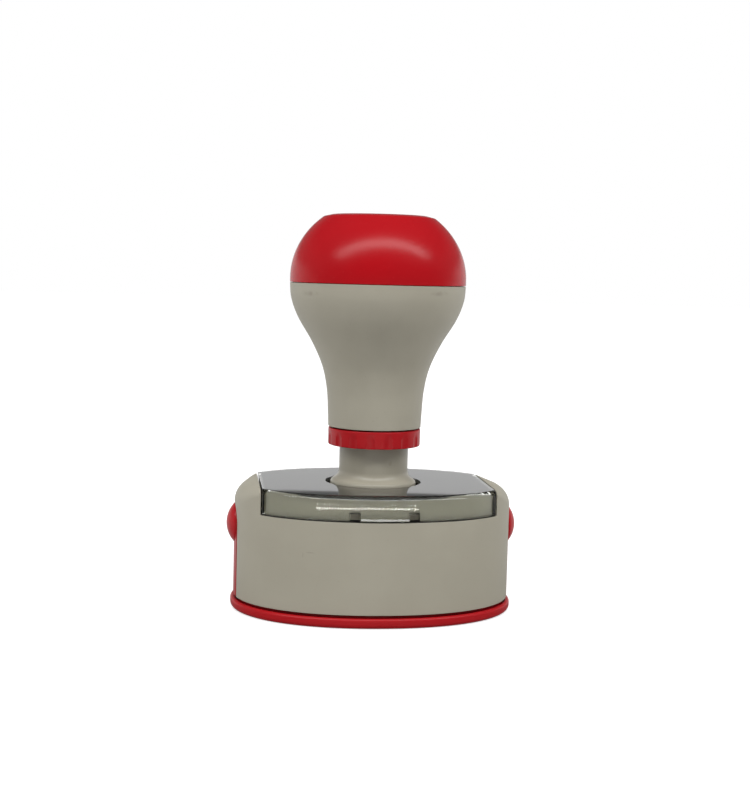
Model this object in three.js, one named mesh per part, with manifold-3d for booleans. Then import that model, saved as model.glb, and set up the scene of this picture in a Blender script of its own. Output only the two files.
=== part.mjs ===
// A flash stamp: a knob on a sprung stem, an oval housing with a clear window, and a clip-on dust cover.
// All sizes are in millimetres. Z is up from the floor, X runs along the oval and the front faces -Y.

import * as THREE from "three";
import { mergeVertices } from "three/addons/utils/BufferGeometryUtils.js";
import { LoftGeometry } from "three/addons/geometries/LoftGeometry.js";
import Module from "manifold-3d";

const wasm = await Module();
wasm.setup();

// Gaps between neighbours
const seatGap = 0.3;
const slideGap = 0.3;
const threadGap = 0.2;
const seamGap = 0.1;
const cutOverrun = 1;

// Travels
const pressStroke = 6;
const ringTravel = 3.2;

// Oval housing
const housingHalfLength = 28.5;
const housingHalfWidth = 20.9;
const ovalPower = 2.15;
const housingFoot = 2.6;
const housingHeight = 23.35;
const housingWall = 1.8;
const endRounding = 4.2;
const edgeRounding = 1.5;
const shoulderLength = 4.8;
const windowHalfLength = housingHalfLength - shoulderLength;
const windowDepth = 5.1;
const deckThickness = 2;
const deckWall = 1.7;

// Clear window cover
const coverWall = 1.5;
const coverHoleRadius = 9.9;
const tongueWidth = 9.5;
const tongueSlotWidth = 2.1;
const tongueSlotHeight = 1.4;

// Stem with its flared foot
const stemRadius = 7.1;
const skirtRadius = 8.84;
const flangeRise = 0.65;
const stemShow = 7.05;
const stemBore = 5.7;
const stemCeilingRise = 8.6;
const stemShoulderRise = 8.75;
const spigotRadius = 6;
const spigotHeight = 4.3;
const spigotBoreDepth = 10;
const postRadius = 2.8;
const postBoreDepth = 8.5;
const keywayWidth = 1.6;
const keywayDepth = 0.5;

// Pressure ring and the keyed washer on its sleeve
const ringRadius = 9.5;
const ringHeight = 3.5;
const ringFlange = 0.7;
const ringChamfer = 0.25;
const ringGrooves = 16;
const ringGrooveDepth = 0.5;
const ringGrooveWidth = 1.3;
const sleeveThreadRadius = 8.2;
const sleeveThreadDepth = 0.3;
const sleeveThreadPitch = 1.6;
const ringSleeveHeight = 6.95;
const washerRadius = 8.1;
const washerThickness = 0.6;

// Knob body
const neckRadius = 9.55;
const knobRadius = 18;
const knobBodyHeight = 29.15;
const knobWall = 2.1;
const neckBoreGap = 0.2;
const screwWeb = 2;

// The knob body's outline between neck and seam, as shares of its height and of the knob's swell
const swellShares = [
  [0.115, 0.018],
  [0.26, 0.055],
  [0.42, 0.175],
  [0.59, 0.44],
  [0.76, 0.79],
  [0.89, 0.96],
];

// Knob cap
const capBand = 1;
const capRise = 12.9;
const capCurveHeight = 16.1;
const capWall = 2;
const capFlatRadius = 9.7;
const capBevel = 0.4;
const capSkirtWall = 1.2;
const capSkirtDepth = 3.8;

// Die carrier and what it holds
const carrierClearance = 0.8;
const frameWall = 1.5;
const dieThickness = 2.4;
const padMargin = 0.3;
const padThickness = 1.8;
const carrierThickness = 1.4;
const carrierRibShare = 0.38;
const carrierRibWall = 1;
const frameHeight = 3.9;
const guidePostRadius = 1.9;
const guidePostClearance = 1.3;
const guidePostTopGap = 0.7;
const socketWall = 1;
const socketRise = 1.15;

// Guide sleeve, spring and its washer
const sleeveFloor = 1.2;
const sleeveWall = 1.3;
const sleeveFlangeRadius = 12;
const sleeveFlangeThickness = 1.2;
const sleeveEarRadius = 2.9;
const sleeveEarAngle = 45;
const springWasherRadius = 5.3;
const springWasherThickness = 0.6;
const springRadius = 4.6;
const springWire = 0.9;
const springTurns = 7;

// Screws
const handleScrew = { shank: 1.5, head: 2.9, headHeight: 2.2, length: 12, slot: 0.9 };
const handleWasher = { outer: 4, thickness: 0.8 };
const carrierScrew = { shank: 1.4, head: 2.7, headHeight: 1.2, length: 8.3, slot: 0.8 };
const sleeveScrew = { shank: 0.9, head: 1.8, headHeight: 1.2, length: 3, slot: 0.6 };

// Dust cover
const trayFloor = 1.1;
const lipHeight = 2.05;
const lipReach = 0.6;
const lipWall = 0.8;
const lipRounding = 0.5;
const shelfInset = 0.9;
const upstandWall = 1.2;
const upstandHeight = 6.2;

// Release arms with their thumb buttons
const buttonHeight = 17.25;
const buttonRadius = 4;
const buttonDome = 1.6;
const armThickness = 1.5;
const armProud = 0.2;
const slotGap = 0.4;
const slotDepth = 4.5;

// Counts of facets
const ovalPoints = 52;
const turnFacets = 36;
const boreFacets = 24;
const smallFacets = 16;
const roundingSteps = 3;
const swellSteps = 14;
const wireFacets = 6;

// Insets from the housing's outline, and reaches from the stem's axis
const deckInset = coverWall + seatGap;
const upstandInset = housingWall + seatGap;
const carrierInset = upstandInset + upstandWall + carrierClearance;
const dieInset = carrierInset + frameWall + seatGap;
const sleeveBore = skirtRadius + slideGap;
const sleeveEarReach = sleeveBore + sleeveWall + sleeveEarRadius;
const socketBore = guidePostRadius + slideGap;
const guidePostReach = sleeveFlangeRadius + guidePostClearance + socketWall + socketBore;

// Heights above the floor
const housingTop = housingFoot + housingHeight;
const sillHeight = housingTop - windowDepth;
const sillUnderside = sillHeight - housingWall;
const deckTop = housingTop - coverWall - seatGap;
const deckUnderside = deckTop - deckThickness;
const dieFace = housingFoot + pressStroke;
const dieTop = dieFace + dieThickness;
const padTop = dieTop + seatGap + padThickness;
const carrierFoot = padTop + seatGap;
const carrierTop = carrierFoot + carrierThickness;
const carrierRibTop = carrierTop + (sillUnderside - carrierTop) * carrierRibShare;
const socketFoot = carrierTop + socketRise;
const sleeveFoot = carrierTop + seatGap;
const sleeveFloorTop = sleeveFoot + sleeveFloor;
const springWasherFoot = sleeveFloorTop + seatGap;
const springWasherTop = springWasherFoot + springWasherThickness;
const skirtFoot = sleeveFloorTop + pressStroke + seatGap;
const flangeEdge = housingTop + flangeRise;
const ringFoot = flangeEdge + stemShow;
const ringTop = ringFoot + ringHeight;
const stemCeiling = flangeEdge + stemCeilingRise;
const knobFoot = ringTop + seatGap;
const stemShoulder = ringTop + stemShoulderRise;
const spigotTop = stemShoulder + spigotHeight;
const sleeveTop = ringTop + ringSleeveHeight;
const ringWasherFoot = sleeveTop + seatGap;
const keywayFoot = ringWasherFoot - ringTravel - slideGap;
const seamHeight = knobFoot + knobBodyHeight;
const webFoot = spigotTop + seatGap;
const webTop = webFoot + screwWeb;
const capFoot = seamHeight + seamGap;
const capTop = capFoot + capBand + capRise;

// Joining and cutting

// A closed geometry as a solid that can be joined and cut.
function solidOf(geometry) {
  const bare = new THREE.BufferGeometry().copy(geometry);
  bare.deleteAttribute("normal");
  bare.deleteAttribute("uv");
  const merged = mergeVertices(bare);
  const corners = merged.index.array;
  const kept = [];
  for (let i = 0; i < corners.length; i += 3) {
    const [a, b, c] = [corners[i], corners[i + 1], corners[i + 2]];
    if (a !== b && b !== c && c !== a) kept.push(a, b, c);
  }
  const vertProperties = new Float32Array(merged.attributes.position.array);
  const triVerts = new Uint32Array(kept);
  return new wasm.Manifold(new wasm.Mesh({ numProp: 3, vertProperties, triVerts }));
}

// A joined or cut solid as a geometry again.
function geometryOf(solid) {
  const mesh = solid.getMesh();
  const geometry = new THREE.BufferGeometry();
  geometry.setAttribute("position", new THREE.BufferAttribute(mesh.vertProperties, 3));
  geometry.setIndex(new THREE.BufferAttribute(mesh.triVerts, 1));
  geometry.computeVertexNormals();
  return geometry;
}

const joined = (first, ...others) => others.reduce((sum, other) => sum.add(other), first);
const cut = (first, ...tools) => tools.reduce((left, tool) => left.subtract(tool), first);

// Shapes

// The housing's oval, drawn in by an inset, as points that run counterclockwise.
function ovalPointsAt(place) {
  return Array.from({ length: ovalPoints }, (_, i) => {
    const angle = (i / ovalPoints) * 2 * Math.PI;
    const [c, s] = [Math.cos(angle), Math.sin(angle)];
    const { inset, height } = place(Math.abs(c) ** (2 / ovalPower));
    const x = (housingHalfLength - inset) * Math.sign(c) * Math.abs(c) ** (2 / ovalPower);
    const y = (housingHalfWidth - inset) * Math.sign(s) * Math.abs(s) ** (2 / ovalPower);
    return new THREE.Vector3(x, y, height);
  });
}

// An oval body through rings of inset and height, listed from the foot up.
function ovalBody(rings) {
  const sections = rings.map(([inset, height]) => ovalPointsAt(() => ({ inset, height })));
  return solidOf(new LoftGeometry(sections, { capStart: true, capEnd: true }));
}

const ovalBlock = (inset, foot, top) => ovalBody([[inset, foot], [inset, top]]);

// An oval body whose top edge is rounded, more at the two ends than along the sides.
function roundedOval(inset, foot, top, sideRadius, endRadius) {
  const radiusAt = (along) => {
    const past = (along * housingHalfLength - windowHalfLength) / shoulderLength;
    return sideRadius + (endRadius - sideRadius) * THREE.MathUtils.smoothstep(past, 0, 1);
  };
  const sections = [ovalPointsAt(() => ({ inset, height: foot }))];
  for (let step = 0; step <= roundingSteps; step++) {
    const turn = (step / roundingSteps) * (Math.PI / 2);
    sections.push(
      ovalPointsAt((along) => ({
        inset: inset + radiusAt(along) * (1 - Math.cos(turn)),
        height: top - radiusAt(along) * (1 - Math.sin(turn)),
      })),
    );
  }
  return solidOf(new LoftGeometry(sections, { capStart: true, capEnd: true }));
}

// A body of revolution about Z from points of radius and height, listed from the foot to the top.
function turned(points, facets = turnFacets) {
  const profile = points.map(([radius, height]) => new THREE.Vector2(radius, height));
  return solidOf(new THREE.LatheGeometry(profile, facets).rotateX(Math.PI / 2));
}

const rod = (radius, foot, top, facets = boreFacets) =>
  turned([[0, foot], [radius, foot], [radius, top], [0, top]], facets);

const tube = (outer, inner, foot, top, facets = turnFacets) =>
  cut(rod(outer, foot, top, facets), rod(inner, foot - cutOverrun, top + cutOverrun, facets));

// A block between two corners.
function block(low, high) {
  const size = high.map((value, i) => value - low[i]);
  const middle = high.map((value, i) => (value + low[i]) / 2);
  return solidOf(new THREE.BoxGeometry(...size).translate(...middle));
}

// A slab that reaches past the housing all round, between two places along X.
const slab = (left, right, foot, top) =>
  block([left, -2 * housingHalfWidth, foot], [right, 2 * housingHalfWidth, top]);

// Points of a quarter turn about a centre, from one angle to another.
function arc(centre, radius, height, from, to, steps = roundingSteps) {
  return new THREE.EllipseCurve(...centre, radius, height, from, to, to < from)
    .getPoints(steps)
    .map((point) => [point.x, point.y]);
}

// Colours, with the roughness and metalness of each finish
const finish = (color, roughness, metalness = 0, opacity = 1) => () =>
  new THREE.MeshStandardMaterial({ color, roughness, metalness, opacity, transparent: opacity < 1 });
const greige = finish(0xa9a594, 0.45);
const red = finish(0xb8121f, 0.35);
const clear = finish(0x6f756c, 0.1, 0, 0.5);
const steel = finish(0xb9bcc0, 0.3, 1);
const white = finish(0xd8d6ce, 0.5);
const foam = finish(0x2a2a2e, 0.9);
const felt = finish(0x4a1216, 0.95);

const piece = (name, solid, material) => {
  const mesh = new THREE.Mesh(geometryOf(solid), material());
  mesh.name = name;
  return mesh;
};

// Housing

// The notch in an end wall that an arm and its button lie in.
function armNotch(side) {
  const half = buttonRadius + slotGap;
  const inner = housingHalfLength - slotDepth;
  const outer = housingHalfLength + cutOverrun;
  const channel = block([inner, -half, housingFoot - cutOverrun], [outer, half, buttonHeight]);
  const round = solidOf(
    new THREE.CylinderGeometry(half, half, outer - inner, boreFacets)
      .rotateZ(Math.PI / 2)
      .translate((inner + outer) / 2, 0, buttonHeight),
  );
  return joined(channel, round).rotate([0, 0, side > 0 ? 0 : 180]);
}

function makeHousing() {
  const { shank } = sleeveScrew;
  const deckHalfLength = windowHalfLength - slideGap - coverWall - seatGap;
  const shell = roundedOval(0, housingFoot, housingTop, edgeRounding, endRounding);
  const window = slab(-windowHalfLength, windowHalfLength, sillHeight, housingTop + cutOverrun);
  const deck = ovalBlock(deckInset, sillUnderside, deckTop).intersect(
    slab(-deckHalfLength, deckHalfLength, 0, housingTop),
  );
  const bay = ovalBlock(housingWall, housingFoot - cutOverrun, sillUnderside);
  const deckHollow = ovalBlock(deckInset + deckWall, housingFoot, deckUnderside).intersect(
    slab(deckWall - deckHalfLength, deckHalfLength - deckWall, 0, housingTop),
  );
  const endHollow = roundedOval(
    housingWall,
    housingFoot,
    housingTop - housingWall,
    edgeRounding,
    endRounding - housingWall,
  ).subtract(
    slab(-windowHalfLength - housingWall, windowHalfLength + housingWall, 0, housingTop + cutOverrun),
  );
  const hole = rod(sleeveBore, deckUnderside - cutOverrun, deckTop + cutOverrun, turnFacets);
  const socket = rod(socketBore + socketWall, socketFoot, deckUnderside + cutOverrun, smallFacets);
  const bore = rod(socketBore, housingFoot, deckUnderside, smallFacets);
  const [sockets, bores] = [socket, bore].map((each) =>
    [-1, 1].map((side) => each.translate([side * guidePostReach, 0, 0])),
  );
  const pilotDepth = deckThickness - seatGap;
  const pilots = [-1, 1].map((side) =>
    rod(shank + threadGap, deckUnderside - cutOverrun, deckUnderside + pilotDepth, smallFacets)
      .translate([0, side * sleeveEarReach, 0])
      .rotate([0, 0, sleeveEarAngle]),
  );
  const hollowed = cut(joined(shell.subtract(window), deck), bay, deckHollow, endHollow);
  return cut(joined(hollowed, ...sockets), ...bores, hole, ...pilots, armNotch(-1), armNotch(1));
}

// Clear window cover

function makeCover() {
  const foot = sillHeight + seatGap;
  const half = windowHalfLength - slideGap;
  const whole = roundedOval(0, foot, housingTop, edgeRounding, edgeRounding);
  const outer = whole.intersect(slab(-half, half, 0, housingTop + cutOverrun));
  const hollow = ovalBlock(coverWall, foot - cutOverrun, housingTop - coverWall).intersect(
    slab(coverWall - half, half - coverWall, 0, housingTop),
  );
  const hole = rod(coverHoleRadius, foot, housingTop + cutOverrun, turnFacets);
  const slots = [-1, 1].map((side) => {
    const near = (side * tongueWidth) / 2;
    const far = near + side * tongueSlotWidth;
    return slab(Math.min(near, far), Math.max(near, far), foot - cutOverrun, foot + tongueSlotHeight);
  });
  return cut(outer, hollow, hole, ...slots);
}

// Stem, with the post that the die carrier hangs on

function makeStem() {
  const flare = skirtRadius - stemRadius;
  const bore = carrierScrew.shank + threadGap;
  const postFoot = carrierTop + seatGap;
  const pilot = handleScrew.shank + threadGap;
  const body = turned([
    [0, postFoot + postBoreDepth],
    [bore, postFoot + postBoreDepth],
    [bore, postFoot],
    [postRadius, postFoot],
    [postRadius, stemCeiling],
    [stemBore, stemCeiling],
    [stemBore, skirtFoot],
    [skirtRadius, skirtFoot],
    ...arc([skirtRadius, flangeEdge + flare], flare, flare, -Math.PI / 2, -Math.PI),
    [stemRadius, stemShoulder],
    [spigotRadius, stemShoulder],
    [spigotRadius, spigotTop],
    [pilot, spigotTop],
    [pilot, spigotTop - spigotBoreDepth],
    [0, spigotTop - spigotBoreDepth],
  ]);
  const keyways = [-1, 1].map((side) => {
    const ends = [side * (stemRadius - keywayDepth), side * (stemRadius + cutOverrun)].sort((a, b) => a - b);
    return block(
      [ends[0], -keywayWidth / 2, keywayFoot],
      [ends[1], keywayWidth / 2, stemShoulder + cutOverrun],
    );
  });
  return cut(body, ...keyways);
}

// Pressure ring, whose threaded sleeve runs up inside the neck

function makeRing() {
  const bore = stemRadius + slideGap;
  const root = sleeveThreadRadius - sleeveThreadDepth;
  const turns = Math.floor((ringSleeveHeight - sleeveThreadPitch) / sleeveThreadPitch);
  const thread = Array.from({ length: turns }, (_, i) => {
    const low = ringTop + (i + 1) * sleeveThreadPitch;
    return [
      [root, low],
      [sleeveThreadRadius, low + sleeveThreadPitch / 3],
      [root, low + (sleeveThreadPitch * 2) / 3],
    ];
  }).flat();
  const body = turned([
    [bore, ringFoot],
    [ringRadius - ringChamfer, ringFoot],
    [ringRadius, ringFoot + ringChamfer],
    [ringRadius, ringTop - ringChamfer],
    [ringRadius - ringChamfer, ringTop],
    [root, ringTop],
    ...thread,
    [root, sleeveTop],
    [bore, sleeveTop],
    [bore, ringFoot],
  ]);
  const grooves = Array.from({ length: ringGrooves }, (_, i) =>
    block(
      [ringRadius - ringGrooveDepth, -ringGrooveWidth / 2, ringFoot - cutOverrun],
      [ringRadius + cutOverrun, ringGrooveWidth / 2, ringTop - ringFlange],
    ).rotate([0, 0, ((i + 0.5) / ringGrooves) * 360]),
  );
  return cut(body, ...grooves);
}

function makeRingWasher() {
  const foot = ringWasherFoot;
  const top = foot + washerThickness;
  const ring = tube(washerRadius, stemRadius + slideGap, foot, top);
  const lugWidth = keywayWidth - slideGap - slideGap;
  const lugs = [-1, 1].map((side) => {
    const ends = [side * (stemRadius - threadGap), side * (washerRadius - slideGap)].sort((a, b) => a - b);
    return block([ends[0], -lugWidth / 2, foot], [ends[1], lugWidth / 2, top]);
  });
  return joined(ring, ...lugs);
}

// Knob body: the neck, the swell and the hollow that the cap closes

const swell = new THREE.SplineCurve(
  [[0, 0], ...swellShares, [1, 1]].map(
    ([rise, out]) =>
      new THREE.Vector2(
        neckRadius + (knobRadius - neckRadius) * out,
        knobFoot + knobBodyHeight * rise,
      ),
  ),
);

const knobOutside = swell.getPoints(swellSteps).map((point) => [point.x, point.y]);

// The knob body's outer radius at a height.
function knobRadiusAt(height) {
  const next = knobOutside.findIndex((point) => point[1] >= height);
  const [[lowRadius, low], [highRadius, high]] = [knobOutside[next - 1], knobOutside[next]];
  return THREE.MathUtils.mapLinear(height, low, high, lowRadius, highRadius);
}

function makeKnobBody() {
  const outside = knobOutside;
  const inside = outside.filter(([, height]) => height > webTop).reverse();
  const bore = sleeveThreadRadius + neckBoreGap;
  const socket = spigotRadius + threadGap;
  const hole = handleScrew.shank + slideGap;
  const lowest = inside[inside.length - 1];
  return turned([
    [bore, knobFoot],
    ...outside,
    ...inside.map(([radius, height]) => [radius - knobWall, height]),
    [lowest[0] - knobWall, webTop],
    [hole, webTop],
    [hole, webFoot],
    [socket, webFoot],
    [socket, stemShoulder + seatGap],
    [bore, stemShoulder + seatGap],
    [bore, knobFoot],
  ]);
}

function makeKnobCap() {
  const centre = [0, capFoot + capBand];
  const skirtOuter = knobRadiusAt(capFoot - capSkirtDepth) - knobWall - slideGap;
  const skirtInner = skirtOuter - capSkirtWall;
  const curveEnd = capTop - capBevel - centre[1];
  const outer = arc(centre, knobRadius, capCurveHeight, 0, Math.asin(curveEnd / capCurveHeight), 10);
  const [innerRadius, innerHeight] = [knobRadius - capWall, capRise - capWall];
  const inner = arc(centre, innerRadius, innerHeight, Math.PI / 2, Math.acos(skirtInner / innerRadius), 5);
  return turned([
    ...inner,
    [skirtInner, capFoot - capSkirtDepth],
    [skirtOuter, capFoot - capSkirtDepth],
    [skirtOuter, capFoot],
    [knobRadius, capFoot],
    ...outer,
    [capFlatRadius, capTop],
    [0, capTop],
  ]);
}

// Die carrier

const carrierOval = (inset, foot, top) => ovalBlock(carrierInset + inset, foot, top);
const dieOval = (inset, foot, top) => ovalBlock(dieInset + inset, foot, top);

function makeCarrier() {
  const { head, shank, headHeight } = carrierScrew;
  const postTop = deckUnderside - guidePostTopGap;
  const plate = carrierOval(0, carrierFoot, carrierTop);
  const ribInset = carrierRibWall;
  const rib = cut(
    carrierOval(ribInset, carrierTop - seatGap, carrierRibTop),
    carrierOval(ribInset + carrierRibWall, carrierTop - cutOverrun, carrierRibTop + cutOverrun),
  );
  const posts = [-1, 1].map((side) =>
    rod(guidePostRadius, carrierTop - seatGap, postTop, smallFacets).translate([side * guidePostReach, 0, 0]),
  );
  const screwSeat = turned(
    [
      [0, carrierFoot - cutOverrun],
      [head + threadGap, carrierFoot - cutOverrun],
      [head + threadGap, carrierFoot],
      [shank + threadGap, carrierFoot + headHeight],
      [shank + threadGap, carrierTop + cutOverrun],
      [0, carrierTop + cutOverrun],
    ],
    smallFacets,
  );
  return cut(joined(plate, rib, ...posts), screwSeat);
}

function makeDieFrame() {
  const top = carrierFoot - seatGap;
  return cut(
    carrierOval(0, top - frameHeight, top),
    dieOval(-seatGap, top - frameHeight - cutOverrun, top + cutOverrun),
  );
}

// Guide sleeve under the deck, with its floor and two screw ears

function makeGuideSleeve() {
  const flangeTop = deckUnderside - seatGap;
  const flangeFoot = flangeTop - sleeveFlangeThickness;
  const ears = [-1, 1].map((side) =>
    rod(sleeveEarRadius, flangeFoot, flangeTop).translate([0, side * sleeveEarReach, 0]),
  );
  const bar = block(
    [-sleeveEarRadius, -sleeveEarReach, flangeFoot],
    [sleeveEarRadius, sleeveEarReach, flangeTop],
  );
  const barrel = rod(sleeveBore + sleeveWall, sleeveFoot, flangeTop, turnFacets);
  const screwHoles = [-1, 1].map((side) =>
    rod(
      sleeveScrew.shank + threadGap,
      flangeFoot - cutOverrun,
      flangeTop + cutOverrun,
      smallFacets,
    ).translate([0, side * sleeveEarReach, 0]),
  );
  const flange = rod(sleeveFlangeRadius, flangeFoot, flangeTop, turnFacets);
  return cut(
    joined(barrel, flange, bar, ...ears),
    rod(sleeveBore, sleeveFloorTop, flangeTop + cutOverrun, turnFacets),
    rod(postRadius + slideGap, sleeveFoot - cutOverrun, flangeTop, boreFacets),
    ...screwHoles,
  ).rotate([0, 0, sleeveEarAngle]);
}

// Return spring: an open coil between its washer and the stem's ceiling

const makeSpringWasher = () =>
  tube(springWasherRadius, postRadius + slideGap, springWasherFoot, springWasherTop);

function makeSpring() {
  const wire = springWire / 2;
  const foot = springWasherTop + seatGap + wire;
  const top = stemCeiling - seatGap - wire;
  const stepsPerTurn = 10;
  const points = Array.from({ length: springTurns * stepsPerTurn + 1 }, (_, i) => {
    const share = i / (springTurns * stepsPerTurn);
    const angle = share * springTurns * 2 * Math.PI;
    const height = foot + (top - foot) * share;
    return new THREE.Vector3(springRadius * Math.cos(angle), springRadius * Math.sin(angle), height);
  });
  const section = new THREE.Shape(
    Array.from({ length: wireFacets }, (_, i) => {
      const angle = (i / wireFacets) * 2 * Math.PI;
      return new THREE.Vector2(wire * Math.cos(angle), wire * Math.sin(angle));
    }),
  );
  return solidOf(
    new THREE.ExtrudeGeometry(section, {
      steps: springTurns * stepsPerTurn,
      extrudePath: new THREE.CatmullRomCurve3(points),
    }),
  );
}

// Fasteners

// A screw that points down from the underside of its head, which lies at height zero.
function screw({ shank, head, headHeight, length, slot }, sunk) {
  const tip = length - shank;
  const headRings = sunk
    ? [[shank, -headHeight], [head, 0]]
    : [[shank, 0], [head, 0], [head, headHeight / 2], [head - headHeight / 2, headHeight]];
  const driveTop = sunk ? 0 : headHeight;
  const body = turned([[0, -length], [shank, -tip], ...headRings, [0, driveTop]], smallFacets);
  const reach = head / 2 + slot / 2;
  const depth = headHeight / 2;
  return cut(
    body,
    block([-reach, -slot / 2, driveTop - depth], [reach, slot / 2, driveTop + cutOverrun]),
    block([-slot / 2, -reach, driveTop - depth], [slot / 2, reach, driveTop + cutOverrun]),
  );
}

// Dust cover: the tray, its lip and the upstand that plugs the housing

function makeTray() {
  const shelfTop = housingFoot - seatGap;
  const outer = ovalBody([
    [lipRounding - lipReach, 0],
    ...arc([0, lipRounding], lipRounding, lipRounding, -Math.PI / 2, 0, 3)
      .slice(1)
      .map(([out, height]) => [lipRounding - lipReach - out, height]),
    ...arc([0, lipHeight - lipRounding / 2], lipRounding / 2, lipRounding / 2, 0, Math.PI / 2, 3).map(
      ([out, height]) => [lipRounding / 2 - lipReach - out, height],
    ),
  ]);
  const groove = ovalBlock(lipWall - lipReach, trayFloor, lipHeight + cutOverrun);
  const shelf = ovalBlock(shelfInset, trayFloor - seatGap, shelfTop);
  const upstand = ovalBlock(upstandInset, trayFloor - seatGap, upstandHeight);
  const inside = ovalBlock(upstandInset + upstandWall, trayFloor, upstandHeight + cutOverrun);
  return cut(joined(outer.subtract(groove), shelf, upstand), inside);
}

function makeArm(side) {
  const armFoot = housingFoot;
  const inner = housingHalfLength - armThickness + armProud;
  const band = cut(
    ovalBlock(-armProud, armFoot, buttonHeight),
    ovalBlock(armThickness - armProud, armFoot - cutOverrun, buttonHeight + cutOverrun),
  ).intersect(
    block([0, -buttonRadius, armFoot - cutOverrun], [2 * housingHalfLength, buttonRadius, buttonHeight]),
  );
  const domeRadius = (buttonRadius ** 2 + buttonDome ** 2) / (2 * buttonDome);
  const domeSweep = Math.asin(buttonRadius / domeRadius);
  const rim = armThickness - armProud;
  const domeCentre = [0, rim + buttonDome - domeRadius];
  const dome = turned(
    [
      [0, 0],
      [buttonRadius, 0],
      ...arc(domeCentre, domeRadius, domeRadius, Math.PI / 2 - domeSweep, Math.PI / 2, 5),
    ],
    boreFacets,
  )
    .rotate([0, 90, 0])
    .translate([inner, 0, buttonHeight]);
  return joined(band, dome).rotate([0, 0, side > 0 ? 0 : 180]);
}

// Assembly

const housingGroup = new THREE.Group();
const handleGroup = new THREE.Group();
const dustCoverGroup = new THREE.Group();
const stamp = new THREE.Group();
stamp.add(housingGroup, handleGroup, dustCoverGroup);

const sleeveFlangeFoot = deckUnderside - seatGap - sleeveFlangeThickness;
housingGroup.add(
  piece("housing", makeHousing(), greige),
  piece("window_cover", makeCover(), clear),
  piece("guide_sleeve", makeGuideSleeve(), white),
  piece("return_spring", makeSpring(), steel),
  piece("spring_washer", makeSpringWasher(), steel),
);
[["sleeve_screw_front", -1], ["sleeve_screw_back", 1]].forEach(([name, side]) => {
  const made = piece(name, screw(sleeveScrew, false), steel);
  made.rotation.x = Math.PI;
  made.position.set(0, side * sleeveEarReach, sleeveFlangeFoot - seatGap);
  made.position.applyAxisAngle(made.up.set(0, 0, 1), THREE.MathUtils.degToRad(sleeveEarAngle));
  housingGroup.add(made);
});

handleGroup.add(
  piece("knob_cap", makeKnobCap(), red),
  piece("knob_body", makeKnobBody(), greige),
  piece("stem", makeStem(), greige),
  piece("adjust_ring", makeRing(), red),
  piece("ring_washer", makeRingWasher(), steel),
  piece("die_carrier", makeCarrier(), white),
  piece("die_frame", makeDieFrame(), white),
  piece("ink_pad", dieOval(padMargin, dieTop + seatGap, padTop), felt),
  piece("flash_die", dieOval(0, dieFace, dieTop), foam),
);
const handleWasherFoot = webTop + seatGap;
const handleWasherTop = handleWasherFoot + handleWasher.thickness;
const handleWasherBore = handleScrew.shank + slideGap;
handleGroup.add(
  piece(
    "handle_washer",
    tube(handleWasher.outer, handleWasherBore, handleWasherFoot, handleWasherTop, boreFacets),
    steel,
  ),
);
const handleScrewMesh = piece("handle_screw", screw(handleScrew, false), steel);
handleScrewMesh.position.z = handleWasherTop + seatGap;
const carrierScrewMesh = piece("carrier_screw", screw(carrierScrew, true), steel);
carrierScrewMesh.rotation.x = Math.PI;
carrierScrewMesh.position.z = carrierFoot;
handleGroup.add(handleScrewMesh, carrierScrewMesh);

dustCoverGroup.add(
  piece("dust_cover", makeTray(), red),
  piece("release_arm_left", makeArm(-1), red),
  piece("release_arm_right", makeArm(1), red),
);

export default stamp;
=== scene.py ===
# %% [markdown]
# A flash stamp, dressed for a photograph.
#
# A flash stamp is a palm-sized tool: a turned knob stands on a sprung stem, the stem dips into an
# oval housing with a smoky window, and a red dust cover clips on below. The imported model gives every
# piece its place and its size. Here each one gets the surface that a moulding really has: fine
# curves, softened edges, and a finish with grain, gloss and wear.
#
# Blender works in metres, but sizes like these are easier to think about in millimetres. So the
# pieces are drawn in millimetres and brought down to metres at the very end of their making.

# %% Load the frame and note its size
import math

import bmesh
import bpy
import numpy as np
from mathutils import Matrix, Vector


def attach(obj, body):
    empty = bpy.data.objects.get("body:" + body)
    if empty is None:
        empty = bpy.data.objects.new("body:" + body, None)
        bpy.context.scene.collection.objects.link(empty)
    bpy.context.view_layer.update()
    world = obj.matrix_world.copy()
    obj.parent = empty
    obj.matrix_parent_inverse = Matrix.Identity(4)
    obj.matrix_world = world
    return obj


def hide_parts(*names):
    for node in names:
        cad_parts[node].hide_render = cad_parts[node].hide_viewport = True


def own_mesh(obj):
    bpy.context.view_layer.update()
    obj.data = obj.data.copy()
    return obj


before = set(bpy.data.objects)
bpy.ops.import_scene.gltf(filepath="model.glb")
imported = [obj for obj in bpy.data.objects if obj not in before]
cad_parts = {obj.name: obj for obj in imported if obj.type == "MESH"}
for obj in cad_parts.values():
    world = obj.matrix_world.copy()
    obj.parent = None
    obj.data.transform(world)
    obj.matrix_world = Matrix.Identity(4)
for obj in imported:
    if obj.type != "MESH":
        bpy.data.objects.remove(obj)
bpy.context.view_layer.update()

MM = 0.001
scene = bpy.context.scene

# %% [markdown]
# The camera stands where the photographer stood.
#
# It was found from the outlines in the photograph: 288 mm from the stem, a little to the left, at
# knob height, looking down by five degrees, and held very slightly askew. The lens is given for the
# long side of the picture, which is its height.

# %% Camera
CAMERA_DISTANCE = 287.8
CAMERA_HEIGHT = 69.4
CAMERA_TURN = math.radians(-7.12)
CAMERA_PITCH = math.radians(-5.28)
CAMERA_ROLL = math.radians(1.47)
CAMERA_LENS = 63.0

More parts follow.
